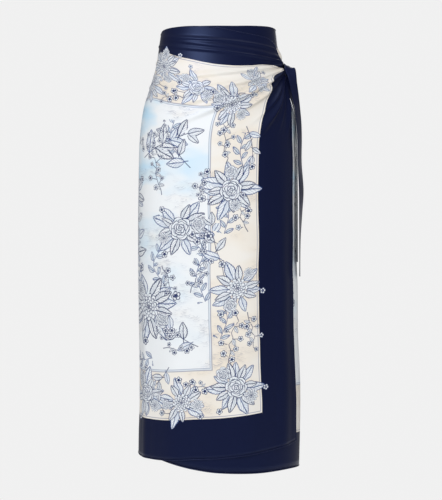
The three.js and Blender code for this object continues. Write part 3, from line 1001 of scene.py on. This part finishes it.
# Each part's place is its distance from the free edge and its height above the hem, then come
# its size or length, its turn and its seed
frontLayout = gather(
    # the band down the side
    bouquet("roses", 146, 146, 23, 20, 1),
    bouquet("dahlias", 138, 352, 22, 100, 2, 6),
    bouquet("roses", 150, 560, 23, 60, 3),
    bouquet("dahlias", 148, 738, 19, 200, 4, 6),
    twig(160, 196, 96, 100, 11),
    twig(118, 300, 80, 262, 12),
    spray(168, 402, 92, 78, 13),
    twig(116, 468, 84, 84, 14),
    twig(162, 616, 92, 82, 15),
    spray(118, 690, 66, 262, 16, 4),
    # the band above the hem
    bouquet("dahlias", 262, 120, 20, 160, 5, 7),
    bouquet("roses", 352, 138, 21, 30, 6, 7),
    bouquet("dahlias", 436, 116, 19, 80, 7, 7),
    twig(196, 150, 52, 0, 17, 5),
    spray(300, 100, 58, 62, 18, 4),
    twig(380, 120, 50, 40, 19, 5),
    # the band under the waist
    bouquet("roses", 88, 784, 12, 60, 24, 5),
    bouquet("roses", 218, 782, 17, 30, 8, 6),
    bouquet("dahlias", 276, 838, 17, 75, 25, 7),
    bouquet("dahlias", 334, 800, 17, 120, 9, 6),
    bouquet("roses", 402, 838, 18, 10, 10, 7),
    twig(120, 760, 60, 340, 22, 5),
    twig(250, 762, 52, 12, 20, 5),
    spray(368, 782, 56, 150, 21, 4),
    # the field
    bouquet("dahlias", 338, 322, 30, 20, 31, 8),
    bouquet("roses", 258, 486, 25, 140, 32, 7),
    bouquet("roses", 402, 560, 22, 60, 33, 6, 1),
    spray(352, 640, 120, 160, 34, 6),
    spray(236, 612, 96, 60, 35, 5),
    spray(400, 402, 104, 96, 36, 6, -40),
    spray(222, 236, 88, 40, 37, 5),
    twig(300, 560, 96, 70, 38, 8),
    twig(236, 350, 88, 120, 39, 7),
    twig(414, 246, 92, 80, 40, 7),
    twig(300, 236, 60, 180, 41, 5),
    twig(420, 700, 70, 200, 42, 6),
    twig(284, 700, 62, 330, 43, 7),
    twig(300, 410, 70, 250, 44, 7),
    twig(210, 540, 60, 100, 45, 6),
    twig(250, 270, 60, 340, 46, 6),
    spray(430, 640, 70, 30, 47, 5),
    spray(286, 196, 70, 320, 48, 5),
    twig(360, 210, 80, 8, 49, 8),
    twig(200, 430, 50, 60, 51, 5),
    {
        "vines": [
            [(262, 640), (282, 672), (270, 716)],
            [(420, 470), (436, 512), (420, 548)],
            [(330, 214), (372, 206), (412, 222)],
            [(166, 470), (156, 510), (172, 540)],
            [(124, 600), (132, 640), (120, 676)],
            [(205, 330), (222, 385), (210, 430), (232, 458)],
            [(380, 350), (372, 402), (392, 440), (372, 486)],
            [(296, 372), (322, 412), (300, 452)],
            [(176, 250), (160, 290), (168, 322)],
        ]
    },
)

# The other panels have their parts in rows, as far as the print repeats, measured from one side
def backParts():
    parts = []
    for i in range(16):
        column, row = i % 4, i // 4
        kind = "dahlias" if i % 3 else "roses"
        high = 150 + 170 * row + 70 * (i % 2)
        parts.append(bouquet(kind, 60 + 120 * column, high, 24, 57 * i, 90 + i))
        parts.append(spray(118 + 120 * column, 118 + 170 * row, 92, 80, 110 + i))
        parts.append(twig(20 + 120 * column, 232 + 170 * row, 80, 88, 130 + i))
    return parts


innerLayout = gather(
    *[bouquet("roses", 256, 180 + 190 * i, 24, 70 * i, 50 + i) for i in range(4)],
    *[bouquet("dahlias", 150, 240 + 200 * i, 24, 50 * i, 60 + i) for i in range(3)],
    *[twig(350, 430 + 110 * i, 84, 85, 70 + i) for i in range(4)],
    *[spray(60, 160 + 170 * i, 96, 70, 80 + i) for i in range(4)],
)
backLayout = gather(*backParts())


def printOn(piece, layout):
    placeMotifs(piece, "rosePlace", layout["roses"], False)
    placeMotifs(piece, "dahliaPlace", layout["dahlias"], False)
    placeMotifs(piece, "blossomPlace", layout["blossoms"], False)
    placeMotifs(piece, "leafPlace", layout["leaves"], True)
    placeMotifs(piece, "lowLeafPlace", layout["lowLeaves"], True)
    placeStems(piece, "vinePlace", layout["vines"], reachSet["vine"])
    placeStems(piece, "twigPlace", layout["twigs"], reachSet["twig"])


printOn(outer, frontLayout)
printOn(inner, innerLayout)
printOn(back, backLayout)
print("motifs are laid out")


# shader groups

# A colour as it reads on screen, turned into the linear one that a shader takes
def paint(red, green, blue):
    levels = [value / 255 for value in (red, green, blue)]
    return tuple(v / 12.92 if v < 0.04045 else ((v + 0.055) / 1.055) ** 2.4 for v in levels) + (1,)


# A socket takes either a fixed value or another node's output
def feed(tree, socket, value):
    if isinstance(value, (int, float, tuple)):
        socket.default_value = value
    else:
        tree.links.new(value, socket)


def mathsIn(tree):
    def maths(operation, *values, clamp=False):
        node = tree.nodes.new("ShaderNodeMath")
        node.operation = operation
        node.use_clamp = clamp
        for socket, value in zip(node.inputs, values):
            feed(tree, socket, value)
        return node.outputs[0]

    return maths


def mixIn(tree):
    def mix(share, first, second):
        node = tree.nodes.new("ShaderNodeMix")
        node.data_type = "RGBA"
        sockets = node.inputs[0], node.inputs[6], node.inputs[7]
        for socket, value in zip(sockets, (share, first, second)):
            feed(tree, socket, value)
        return node.outputs[2]

    return mix


socketTypes = {"value": "NodeSocketFloat", "colour": "NodeSocketColor", "vector": "NodeSocketVector"}


def newGroup(name, inputs, outputs):
    group = bpy.data.node_groups.new(name, "ShaderNodeTree")
    for label, kind, value in inputs:
        socket = group.interface.new_socket(label, in_out="INPUT", socket_type=socketTypes[kind])
        if value is not None:
            socket.default_value = value
    for label, kind in outputs:
        group.interface.new_socket(label, in_out="OUTPUT", socket_type=socketTypes[kind])
    given = group.nodes.new("NodeGroupInput").outputs
    made = group.nodes.new("NodeGroupOutput").inputs
    return group, given, made


def useGroup(tree, group, **values):
    node = tree.nodes.new("ShaderNodeGroup")
    node.node_tree = group
    for label, value in values.items():
        feed(tree, node.inputs[label.replace("_", " ")], value)
    return node.outputs


def parted(tree, vector):
    node = tree.nodes.new("ShaderNodeSeparateXYZ")
    tree.links.new(vector, node.inputs[0])
    return node.outputs


# 1 on a line and 0 beyond its width, with an edge that stays crisp
def drawn(maths, distance, width):
    away = maths("DIVIDE", maths("ABSOLUTE", distance), width)
    return maths("MULTIPLY", maths("SUBTRACT", 1, away), 2.2, clamp=True)


# 0 outside, rising to 1 over a soft edge
def within(maths, value, soft):
    return maths("DIVIDE", value, soft, clamp=True)


motifOutputs = [("Ink", "value"), ("Fill", "value"), ("Shade", "value")]


# Shakes a place a little, so that lines run as if drawn by hand
def handDrawnGroup():
    group, given, made = newGroup(
        "handDrawn",
        [("Place", "vector", None), ("Scale", "value", 3), ("Amount", "value", 0.08)],
        [("Place", "vector")],
    )
    noise = group.nodes.new("ShaderNodeTexNoise")
    noise.inputs["Detail"].default_value = 1
    group.links.new(given["Place"], noise.inputs["Vector"])
    group.links.new(given["Scale"], noise.inputs["Scale"])
    middle = group.nodes.new("ShaderNodeVectorMath")
    middle.operation = "SUBTRACT"
    middle.inputs[1].default_value = (0.5, 0.5, 0.5)
    group.links.new(noise.outputs["Color"], middle.inputs[0])
    sized = group.nodes.new("ShaderNodeVectorMath")
    sized.operation = "SCALE"
    group.links.new(middle.outputs[0], sized.inputs[0])
    group.links.new(given["Amount"], sized.inputs["Scale"])
    moved = group.nodes.new("ShaderNodeVectorMath")
    moved.operation = "ADD"
    group.links.new(given["Place"], moved.inputs[0])
    group.links.new(sized.outputs[0], moved.inputs[1])
    group.links.new(moved.outputs[0], made["Place"])
    return group


handDrawn = handDrawnGroup()


def petalRingGroup():
    group, given, made = newGroup(
        "petalRing",
        [
            ("Radius", "value", 1), ("Angle", "value", 0), ("Outer", "value", 1),
            ("Inner", "value", 0.5), ("Petals", "value", 6), ("Turn", "value", 0),
            ("Cut", "value", 0.2), ("Point", "value", 0.55), ("Line", "value", 0.03),
        ],
        motifOutputs,
    )
    maths = mathsIn(group)
    swing = maths("MULTIPLY", given["Angle"], maths("MULTIPLY", given["Petals"], 0.5))
    swing = maths("ADD", swing, given["Turn"])
    wave = maths("ABSOLUTE", maths("COSINE", swing))
    grown = maths("MULTIPLY", maths("POWER", wave, given["Point"]), given["Cut"])
    edge = maths("MULTIPLY", given["Outer"], maths("ADD", maths("SUBTRACT", 1, given["Cut"]), grown))
    rim = maths("SUBTRACT", edge, given["Radius"])
    fill = within(maths, rim, 0.01)
    outline = drawn(maths, rim, given["Line"])
    fromCusp = maths("MULTIPLY", wave, given["Radius"])
    fromCusp = maths("MULTIPLY", fromCusp, maths("DIVIDE", 2, given["Petals"]))
    covered = maths("MULTIPLY", given["Inner"], 0.8)
    beyond = within(maths, maths("SUBTRACT", given["Radius"], covered), 0.02)
    cusp = drawn(maths, fromCusp, maths("MULTIPLY", given["Line"], 0.8))
    cusp = maths("MULTIPLY", cusp, maths("MULTIPLY", fill, beyond))
    span = maths("SUBTRACT", given["Outer"], given["Inner"])
    depth = maths("DIVIDE", maths("SUBTRACT", given["Radius"], given["Inner"]), span, clamp=True)
    hatch = drawn(maths, maths("PINGPONG", maths("MULTIPLY", given["Angle"], 5.5), 0.5), 0.26)
    hatched = maths("MULTIPLY", hatch, maths("SUBTRACT", 1, maths("DIVIDE", depth, 0.5), clamp=True))
    hatched = maths("MULTIPLY", hatched, fill)
    ink = maths("MAXIMUM", maths("MAXIMUM", outline, cusp), hatched)
    group.links.new(ink, made["Ink"])
    group.links.new(fill, made["Fill"])
    group.links.new(maths("MULTIPLY", maths("SUBTRACT", 1, depth), fill), made["Shade"])
    return group


petalRing = petalRingGroup()


def flowerGroup(name, rings):
    group, given, made = newGroup(
        name, [("Place", "vector", None), ("Line", "value", 0.04)], motifOutputs
    )
    maths = mathsIn(group)
    shaken = useGroup(group, handDrawn, Place=given["Place"], Scale=2.6, Amount=0.22)
    x, y, _ = parted(group, shaken["Place"])
    ink, fill, shade = 0, 0, 0
    for ring in rings:
        ringX = maths("ADD", x, ring["shift"])
        ringY = maths("ADD", y, ring["shift"] * 0.6)
        squares = maths("ADD", maths("MULTIPLY", ringX, ringX), maths("MULTIPLY", ringY, ringY))
        found = useGroup(
            group, petalRing, Radius=maths("SQRT", squares), Angle=maths("ARCTAN2", ringY, ringX),
            Outer=ring["outer"], Inner=ring["inner"], Petals=ring["petals"], Turn=ring["turn"],
            Cut=ring["cut"], Point=ring["point"], Line=given["Line"],
        )
        if ring is rings[0]:
            ink, fill, shade = found["Ink"], found["Fill"], found["Shade"]
        else:
            bare = maths("SUBTRACT", 1, found["Fill"])
            ink = maths("MAXIMUM", maths("MULTIPLY", ink, bare), found["Ink"])
            shade = maths("MAXIMUM", maths("MULTIPLY", shade, bare), found["Shade"])
    group.links.new(ink, made["Ink"])
    group.links.new(fill, made["Fill"])
    group.links.new(shade, made["Shade"])
    return group


ringColumns = ("outer", "inner", "petals", "turn", "shift", "cut", "point")

rose = flowerGroup("rose", tableOf(
    ringColumns,
    (1.0, 0.74, 6, 0.3, 0, 0.2, 0.55),
    (0.8, 0.55, 5, 1.1, 0.05, 0.2, 0.55),
    (0.58, 0.36, 5, 2.0, -0.03, 0.2, 0.55),
    (0.38, 0.2, 4, 0.6, 0.02, 0.2, 0.55),
    (0.2, 0.05, 3, 1.4, 0.03, 0.2, 0.55),
))
dahlia = flowerGroup("dahlia", tableOf(
    ringColumns,
    (1.0, 0.62, 13, 0.2, 0, 0.34, 0.8),
    (0.78, 0.46, 12, 1.0, 0.02, 0.32, 0.8),
    (0.56, 0.3, 10, 0.4, 0.0, 0.3, 0.8),
    (0.34, 0.12, 8, 0.9, -0.01, 0.3, 0.8),
    (0.15, 0.0, 5, 0.3, 0, 0.2, 0.6),
))
blossom = flowerGroup("blossom", tableOf(
    ringColumns,
    (1.0, 0.3, 5, 0, 0, 0.42, 0.6),
    (0.34, 0.05, 8, 0.5, 0, 0.2, 0.6),
))


def leafGroup():
    group, given, made = newGroup(
        "leaf",
        [
            ("Along", "value", 0), ("Across", "value", 0), ("Fullness", "value", 0.24),
            ("Line", "value", 0.02),
        ],
        motifOutputs,
    )
    maths = mathsIn(group)
    along = maths("MAXIMUM", maths("MINIMUM", given["Along"], 1), 0)
    arch = maths("SINE", maths("MULTIPLY", maths("POWER", along, 0.8), math.pi))
    swell = maths("POWER", maths("MAXIMUM", arch, 0), 0.8)
    teeth = maths("ADD", 0.93, maths("MULTIPLY", maths("FRACT", maths("MULTIPLY", along, 9)), 0.12))
    half = maths("MULTIPLY", maths("MULTIPLY", swell, given["Fullness"]), teeth)
    away = maths("ABSOLUTE", given["Across"])
    rim = maths("SUBTRACT", half, away)
    fill = within(maths, rim, 0.01)
    started = maths("GREATER_THAN", given["Along"], 0.005)
    body = maths("MULTIPLY", started, maths("LESS_THAN", given["Along"], 0.995))
    outline = maths("MULTIPLY", drawn(maths, rim, given["Line"]), body)
    middle = drawn(maths, given["Across"], given["Line"])
    stem = maths("MULTIPLY", middle, maths("GREATER_THAN", given["Along"], -0.2))
    midrib = maths("MULTIPLY", stem, maths("LESS_THAN", given["Along"], 0.93))
    slant = maths("SUBTRACT", maths("MULTIPLY", given["Along"], 5.5), maths("MULTIPLY", away, 9))
    vein = drawn(maths, maths("PINGPONG", slant, 0.5), maths("MULTIPLY", given["Line"], 3.4))
    vein = maths("MULTIPLY", vein, within(maths, maths("SUBTRACT", rim, 0.02), 0.02))
    vein = maths("MULTIPLY", vein, 0.75)
    fine = drawn(maths, maths("PINGPONG", maths("MULTIPLY", slant, 2), 0.5), 0.2)
    oneSide = maths("LESS_THAN", given["Across"], 0)
    hatched = maths("MULTIPLY", oneSide, within(maths, maths("SUBTRACT", rim, 0.04), 0.03))
    hatched = maths("MULTIPLY", hatched, maths("LESS_THAN", given["Along"], 0.55))
    fine = maths("MULTIPLY", maths("MULTIPLY", fine, hatched), 0.5)
    ink = maths("MAXIMUM", maths("MAXIMUM", outline, midrib), maths("MAXIMUM", vein, fine))
    nearBase = maths("SUBTRACT", 1, maths("DIVIDE", along, 0.7), clamp=True)
    side = maths("MULTIPLY", oneSide, 0.45)
    shade = maths("MULTIPLY", fill, maths("ADD", side, maths("MULTIPLY", nearBase, 0.5)))
    group.links.new(ink, made["Ink"])
    group.links.new(fill, made["Fill"])
    group.links.new(shade, made["Shade"])
    return group


leaf = leafGroup()


def vineGroup():
    group, given, made = newGroup(
        "vine",
        [("Place", "vector", None), ("Spacing", "value", 0.011), ("Leaf Length", "value", 0.019)],
        motifOutputs,
    )
    maths = mathsIn(group)
    along, across, whole = parted(group, given["Place"])
    side = maths("LESS_THAN", across, 0)
    started = maths("ADD", along, maths("MULTIPLY", side, given["Spacing"]))
    pair = maths("MULTIPLY", given["Spacing"], 2)
    step = maths("MULTIPLY", maths("FRACT", maths("DIVIDE", started, pair)), pair)
    away = maths("ABSOLUTE", across)
    lean = math.radians(48)
    cosine, sine = math.cos(lean), math.sin(lean)
    localX = maths("ADD", maths("MULTIPLY", step, cosine), maths("MULTIPLY", away, sine))
    localY = maths("SUBTRACT", maths("MULTIPLY", away, cosine), maths("MULTIPLY", step, sine))
    localX = maths("SUBTRACT", maths("DIVIDE", localX, given["Leaf Length"]), 0.16)
    localY = maths("DIVIDE", localY, given["Leaf Length"])
    found = useGroup(group, leaf, Along=localX, Across=localY, Fullness=0.22, Line=0.045)
    onIt = maths("MULTIPLY", maths("GREATER_THAN", along, 0), maths("LESS_THAN", along, whole))
    stem = drawn(maths, across, 0.0009)
    ink = maths("MULTIPLY", maths("MAXIMUM", found["Ink"], stem), onIt)
    group.links.new(ink, made["Ink"])
    group.links.new(maths("MULTIPLY", found["Fill"], onIt), made["Fill"])
    group.links.new(maths("MULTIPLY", found["Shade"], onIt), made["Shade"])
    return group


vine = vineGroup()


def twigGroup():
    group, given, made = newGroup(
        "twigLine", [("Place", "vector", None), ("Width", "value", 0.0013)], [("Ink", "value")]
    )
    maths = mathsIn(group)
    along, across, whole = parted(group, given["Place"])
    left = maths("DIVIDE", maths("SUBTRACT", whole, along), whole, clamp=True)
    width = maths("MULTIPLY", given["Width"], maths("ADD", 0.55, maths("MULTIPLY", left, 0.45)))
    onIt = maths("MULTIPLY", maths("GREATER_THAN", along, 0), maths("LESS_THAN", along, whole))
    group.links.new(maths("MULTIPLY", drawn(maths, across, width), onIt), made["Ink"])
    return group


twigLine = twigGroup()


# Lays a motif on the ground colour; Pressure makes the drawn lines stronger or weaker
def stampGroup():
    group, given, made = newGroup(
        "stamp",
        [
            ("Ground", "colour", None), ("Ink", "value", 0), ("Fill", "value", 0),
            ("Shade", "value", 0), ("Light Colour", "colour", None),
            ("Shade Colour", "colour", None), ("Ink Colour", "colour", None),
            ("Cover", "value", 1), ("Shading", "value", 0.7), ("Pressure", "value", 1),
        ],
        [("Colour", "colour")],
    )
    maths, mix = mathsIn(group), mixIn(group)
    shaded = maths("MULTIPLY", given["Shade"], given["Shading"])
    inside = mix(shaded, given["Light Colour"], given["Shade Colour"])
    filled = mix(maths("MULTIPLY", given["Fill"], given["Cover"]), given["Ground"], inside)
    drawnInk = maths("MULTIPLY", given["Ink"], given["Pressure"], clamp=True)
    group.links.new(mix(drawnInk, filled, given["Ink Colour"]), made["Colour"])
    return group


stamp = stampGroup()

palette = {
    "navy": paint(10, 14, 40),
    "cream": paint(212, 209, 203),
    "white": paint(211, 214, 216),
    "beige": paint(210, 202, 189),
    "skyBlue": paint(172, 201, 219),
    "paleBlue": paint(209, 213, 216),
    "shadeBlue": paint(186, 201, 216),
    "ink": paint(18, 32, 78),
    "softInk": paint(52, 72, 118),
    "tieDark": paint(10, 13, 37),
    "tieLight": paint(14, 18, 46),
    "stitch": paint(56, 62, 100),
}


def twillGroup():
    group, given, made = newGroup(
        "twill", [("Cloth", "vector", None), ("Pitch", "value", 0.0007)], [("Height", "value")]
    )
    maths = mathsIn(group)
    across, along, _ = parted(group, given["Cloth"])
    slant = maths("DIVIDE", maths("ADD", across, along), given["Pitch"])
    group.links.new(maths("PINGPONG", slant, 0.5), made["Height"])
    return group


twill = twillGroup()


# The blue wash begins at these metres above the hem and from the free edge, and is full after
# the next two; clouds are rows of a noise's scale and detail
washSet = {
    "stretch": (5, 9, 1),
    "clouds": ((1.0, 3), (1.7, 2), (11, 2)),
    "blueUp": (0.36, 0.3),
    "blueAcross": (0.14, 0.16),
    "strokes": 330,
    "strokeStrength": 0.4,
}


# Washes of sky blue and warm beige, as laid on with a wet brush: blue lies high in the field
def washGroup():
    group, given, made = newGroup(
        "washes",
        [("Cloth", "vector", None), ("In Band", "value", 0)],
        [("Colour", "colour"), ("Pressure", "value")],
    )
    maths, mix = mathsIn(group), mixIn(group)
    across, up, _ = parted(group, given["Cloth"])
    stretched = group.nodes.new("ShaderNodeMapping")
    stretched.inputs["Scale"].default_value = washSet["stretch"]
    group.links.new(given["Cloth"], stretched.inputs["Vector"])
    clouds = []
    for scale, detail in washSet["clouds"]:
        noise = group.nodes.new("ShaderNodeTexNoise")
        noise.inputs["Scale"].default_value = scale
        noise.inputs["Detail"].default_value = detail
        group.links.new(stretched.outputs[0], noise.inputs["Vector"])
        clouds.append(noise.outputs["Fac"])
    broad, middling, small = clouds
    high = 1
    for place, (begins, width) in ((up, washSet["blueUp"]), (across, washSet["blueAcross"])):
        share = maths("DIVIDE", maths("SUBTRACT", place, begins), width, clamp=True)
        high = maths("MULTIPLY", high, share)
    level = maths("SUBTRACT", 0.55, maths("MULTIPLY", high, 0.14))
    blue = maths("MULTIPLY", maths("SUBTRACT", broad, level), 8, clamp=True)
    blue = maths("MULTIPLY", blue, maths("ADD", 0.3, maths("MULTIPLY", high, 0.7)))
    warm = maths("MULTIPLY", maths("SUBTRACT", middling, 0.56), 7, clamp=True)
    field = mix(blue, palette["white"], palette["skyBlue"])
    field = mix(maths("MULTIPLY", warm, 0.4), field, palette["beige"])
    bandShare = maths("MULTIPLY", maths("SUBTRACT", middling, 0.38), 4.5, clamp=True)
    band = mix(bandShare, palette["cream"], palette["beige"])
    ground = mix(given["In Band"], field, band)
    wavering = maths("ADD", maths("MULTIPLY", up, washSet["strokes"]), maths("MULTIPLY", small, 5))
    stroke = drawn(maths, maths("PINGPONG", wavering, 0.5), 0.24)
    patch = maths("MULTIPLY", maths("SUBTRACT", middling, 0.5), 9, clamp=True)
    speckled = maths("MULTIPLY", maths("SUBTRACT", small, 0.42), 6, clamp=True)
    stroke = maths("MULTIPLY", stroke, maths("MULTIPLY", patch, speckled))
    stroked = mix(maths("MULTIPLY", stroke, washSet["strokeStrength"]), ground, palette["softInk"])
    group.links.new(stroked, made["Colour"])
    group.links.new(maths("ADD", 0.45, maths("MULTIPLY", small, 0.95)), made["Pressure"])
    return group


washes = washGroup()


silkLook = {
    "Roughness": 0.4,
    "Sheen Weight": 0.02,
    "Sheen Roughness": 0.4,
    "Specular IOR Level": 0.34,
    "Specular Tint": (0.36, 0.5, 1.0, 1),
}
weaveLook = {"Strength": 0.2, "Distance": 0.0001}


def silkShader(tree, colour, cloth):
    shader = tree.nodes.new("ShaderNodeBsdfPrincipled")
    for label, value in silkLook.items():
        shader.inputs[label].default_value = value
    tree.links.new(colour, shader.inputs["Base Color"])
    weave = useGroup(tree, twill, Cloth=cloth)
    bumpNode = tree.nodes.new("ShaderNodeBump")
    for label, value in weaveLook.items():
        bumpNode.inputs[label].default_value = value
    tree.links.new(weave["Height"], bumpNode.inputs["Height"])
    tree.links.new(bumpNode.outputs[0], shader.inputs["Normal"])
    output = tree.nodes.new("ShaderNodeOutputMaterial")
    tree.links.new(shader.outputs[0], output.inputs["Surface"])


def newMaterial(name):
    material = bpy.data.materials.new(name)
    material.use_nodes = True
    material.node_tree.nodes.clear()
    return material, material.node_tree


def readAttribute(tree, name):
    node = tree.nodes.new("ShaderNodeAttribute")
    node.attribute_name = name
    return node.outputs


def fabricMap(tree):
    node = tree.nodes.new("ShaderNodeUVMap")
    node.uv_map = "fabric"
    return node.outputs[0]


# The layers of motifs from the ground up
printLayers = tableOf(
    ("place", "light", "shade", "ink", "line", "shading"),
    ("lowLeafPlace", "paleBlue", "shadeBlue", "softInk", 0.03, 0.4),
    ("leafPlace", "white", "shadeBlue", "ink", 0.033, 0.32),
    ("blossomPlace", "white", "shadeBlue", "ink", 0.15, 0.4),
    ("dahliaPlace", "white", "shadeBlue", "ink", 0.04, 0.32),
    ("rosePlace", "white", "shadeBlue", "ink", 0.04, 0.32),
)
flowers = {"blossomPlace": blossom, "dahliaPlace": dahlia, "rosePlace": rose}


# The distance in from the nearest dark border; a panel with no printed side edge has no sideBorder
def borderDistance(tree, cloth, sideBorder, hemBorder):
    maths = mathsIn(tree)
    _, fromHem, _ = parted(tree, cloth)
    fromTop = readAttribute(tree, "fromTop")["Fac"]
    toBorder = maths("SUBTRACT", fromHem, hemBorder * mm)
    toBorder = maths("MINIMUM", toBorder, maths("SUBTRACT", fromTop, printSet["top"] * mm))
    if sideBorder:
        fromEdge = readAttribute(tree, "fromEdge")["Fac"]
        toBorder = maths("MINIMUM", toBorder, maths("SUBTRACT", fromEdge, sideBorder * mm))
    return toBorder


# The washed ground with a blue rule and thin lines where the band meets the field and the border
def ruledGround(tree, ground, toBorder):
    maths, mix = mathsIn(tree), mixIn(tree)
    band, rule = printSet["band"] * mm, printSet["rule"] * mm
    fromBand = maths("ABSOLUTE", maths("SUBTRACT", toBorder, band))
    stripe = within(maths, maths("SUBTRACT", rule, fromBand), 0.0004)
    ground = mix(maths("MULTIPLY", stripe, 0.5), ground, palette["shadeBlue"])
    lines = 0
    for place, share in ((band - rule, 1), (band + rule, 0.7), (printSet["rim"] * mm, 0.8)):
        line = drawn(maths, maths("SUBTRACT", toBorder, place), printSet["line"] * mm * share)
        lines = maths("MAXIMUM", lines, line)
    return mix(maths("MULTIPLY", lines, 0.55), ground, palette["softInk"])


def stampMotif(tree, layer, colour, pressure):
    place = readAttribute(tree, layer["place"])["Vector"]
    if layer["place"] in flowers:
        found = useGroup(tree, flowers[layer["place"]], Place=place, Line=layer["line"])
    else:
        shaken = useGroup(tree, handDrawn, Place=place, Scale=3, Amount=0.1)
        along, across, _ = parted(tree, shaken["Place"])
        found = useGroup(tree, leaf, Along=along, Across=across, Fullness=0.23, Line=layer["line"])
    return useGroup(
        tree, stamp, Ground=colour, Ink=found["Ink"], Fill=found["Fill"], Shade=found["Shade"],
        Light_Colour=palette[layer["light"]], Shade_Colour=palette[layer["shade"]],
        Ink_Colour=palette[layer["ink"]], Shading=layer["shading"], Pressure=pressure,
    )["Colour"]


def printedSilk(name, sideBorder, hemBorder, faded):
    material, tree = newMaterial(name)
    maths, mix = mathsIn(tree), mixIn(tree)
    cloth = fabricMap(tree)
    toBorder = borderDistance(tree, cloth, sideBorder, hemBorder)
    inField = within(maths, toBorder, 0.0004)
    pastBand = within(maths, maths("SUBTRACT", toBorder, printSet["band"] * mm), 0.0006)
    washed = useGroup(tree, washes, Cloth=cloth, In_Band=maths("SUBTRACT", 1, pastBand))
    colour = mix(inField, palette["navy"], ruledGround(tree, washed["Colour"], toBorder))

    found = useGroup(tree, vine, Place=readAttribute(tree, "vinePlace")["Vector"])
    colour = useGroup(
        tree, stamp, Ground=colour, Ink=maths("MULTIPLY", found["Ink"], inField),
        Fill=maths("MULTIPLY", found["Fill"], inField), Shade=found["Shade"], Cover=0.7,
        Pressure=washed["Pressure"], Light_Colour=palette["white"], Shade_Colour=palette["skyBlue"],
        Ink_Colour=palette["softInk"],
    )["Colour"]
    twigInk = useGroup(tree, twigLine, Place=readAttribute(tree, "twigPlace")["Vector"])["Ink"]
    colour = mix(maths("MULTIPLY", maths("MULTIPLY", twigInk, inField), 0.8), colour, palette["ink"])
    for layer in printLayers:
        colour = stampMotif(tree, layer, colour, washed["Pressure"])
    if faded:
        colour = mix(0.3, colour, palette["cream"])
    silkShader(tree, colour, cloth)
    return material


def navySilk():
    material, tree = newMaterial("navySilk")
    mix = mixIn(tree)
    cloth = fabricMap(tree)
    cloud = tree.nodes.new("ShaderNodeTexNoise")
    cloud.inputs["Scale"].default_value = 40
    tree.links.new(cloth, cloud.inputs["Vector"])
    colour = mix(cloud.outputs["Fac"], palette["tieDark"], palette["tieLight"])
    silkShader(tree, colour, cloth)
    return material


# The rolled hem is caught with small stitches, a little lighter than the cloth
def hemSilk():
    material, tree = newMaterial("hemSilk")
    maths, mix = mathsIn(tree), mixIn(tree)
    cloth = fabricMap(tree)
    rounds, along, _ = parted(tree, cloth)
    step = maths("FRACT", maths("DIVIDE", along, hemSet["stitchPitch"] * mm))
    caught = maths("SUBTRACT", maths("ADD", step, maths("MULTIPLY", rounds, 0.5)), 0.5)
    stitch = maths("MULTIPLY", drawn(maths, caught, hemSet["stitchWidth"]), hemSet["stitchStrength"])
    colour = mix(stitch, palette["navy"], palette["stitch"])
    silkShader(tree, colour, cloth)
    return material


borders = printSet["side"], printSet["hem"]
outerSilk = printedSilk("printedSilk", *borders, False)
outerInside = printedSilk("printedSilkInside", *borders, True)
innerSilk = printedSilk("underSilk", 0, printSet["underHem"], False)
innerInside = printedSilk("underSilkInside", 0, printSet["underHem"], True)
plainNavy = navySilk()
hemNavy = hemSilk()

# Each thin piece has its outside, its inside and its thickness
thinPieces = (
    (outer, outerSilk, outerInside, clothSet["thickness"]),
    (inner, innerSilk, innerInside, clothSet["thickness"]),
    (back, innerSilk, innerInside, clothSet["thickness"]),
    (stubCloth, plainNavy, plainNavy, stubSet["thickness"]),
)
for piece, outside, inside, thickness in thinPieces:
    piece.data.materials.append(outside)
    piece.data.materials.append(inside)
    makeThin(piece, thickness)
for tie in (longTie, shortTie, knotCloth):
    tie.data.materials.append(plainNavy)
for roll in (outerHemRoll, innerHemRoll, backHemRoll):
    roll.data.materials.append(hemNavy)
print("materials are on")


# hand over

pairs = (
    (outer, "front_wrap", "printed_silk"),
    (outerHemRoll, "front_wrap", "printed_silk"),
    (inner, "under_front", "printed_silk"),
    (innerHemRoll, "under_front", "printed_silk"),
    (back, "back_panel", "printed_silk"),
    (backHemRoll, "back_panel", "printed_silk"),
    (longTie, "tie_tail_long", "navy_silk"),
    (shortTie, "tie_tail_short", "navy_silk"),
    (stubCloth, "tie_stub", "navy_silk"),
    (knotCloth, "tie_knot", "navy_silk"),
)
for piece, node, slotName in pairs:
    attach(piece, "root")
    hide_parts(node)
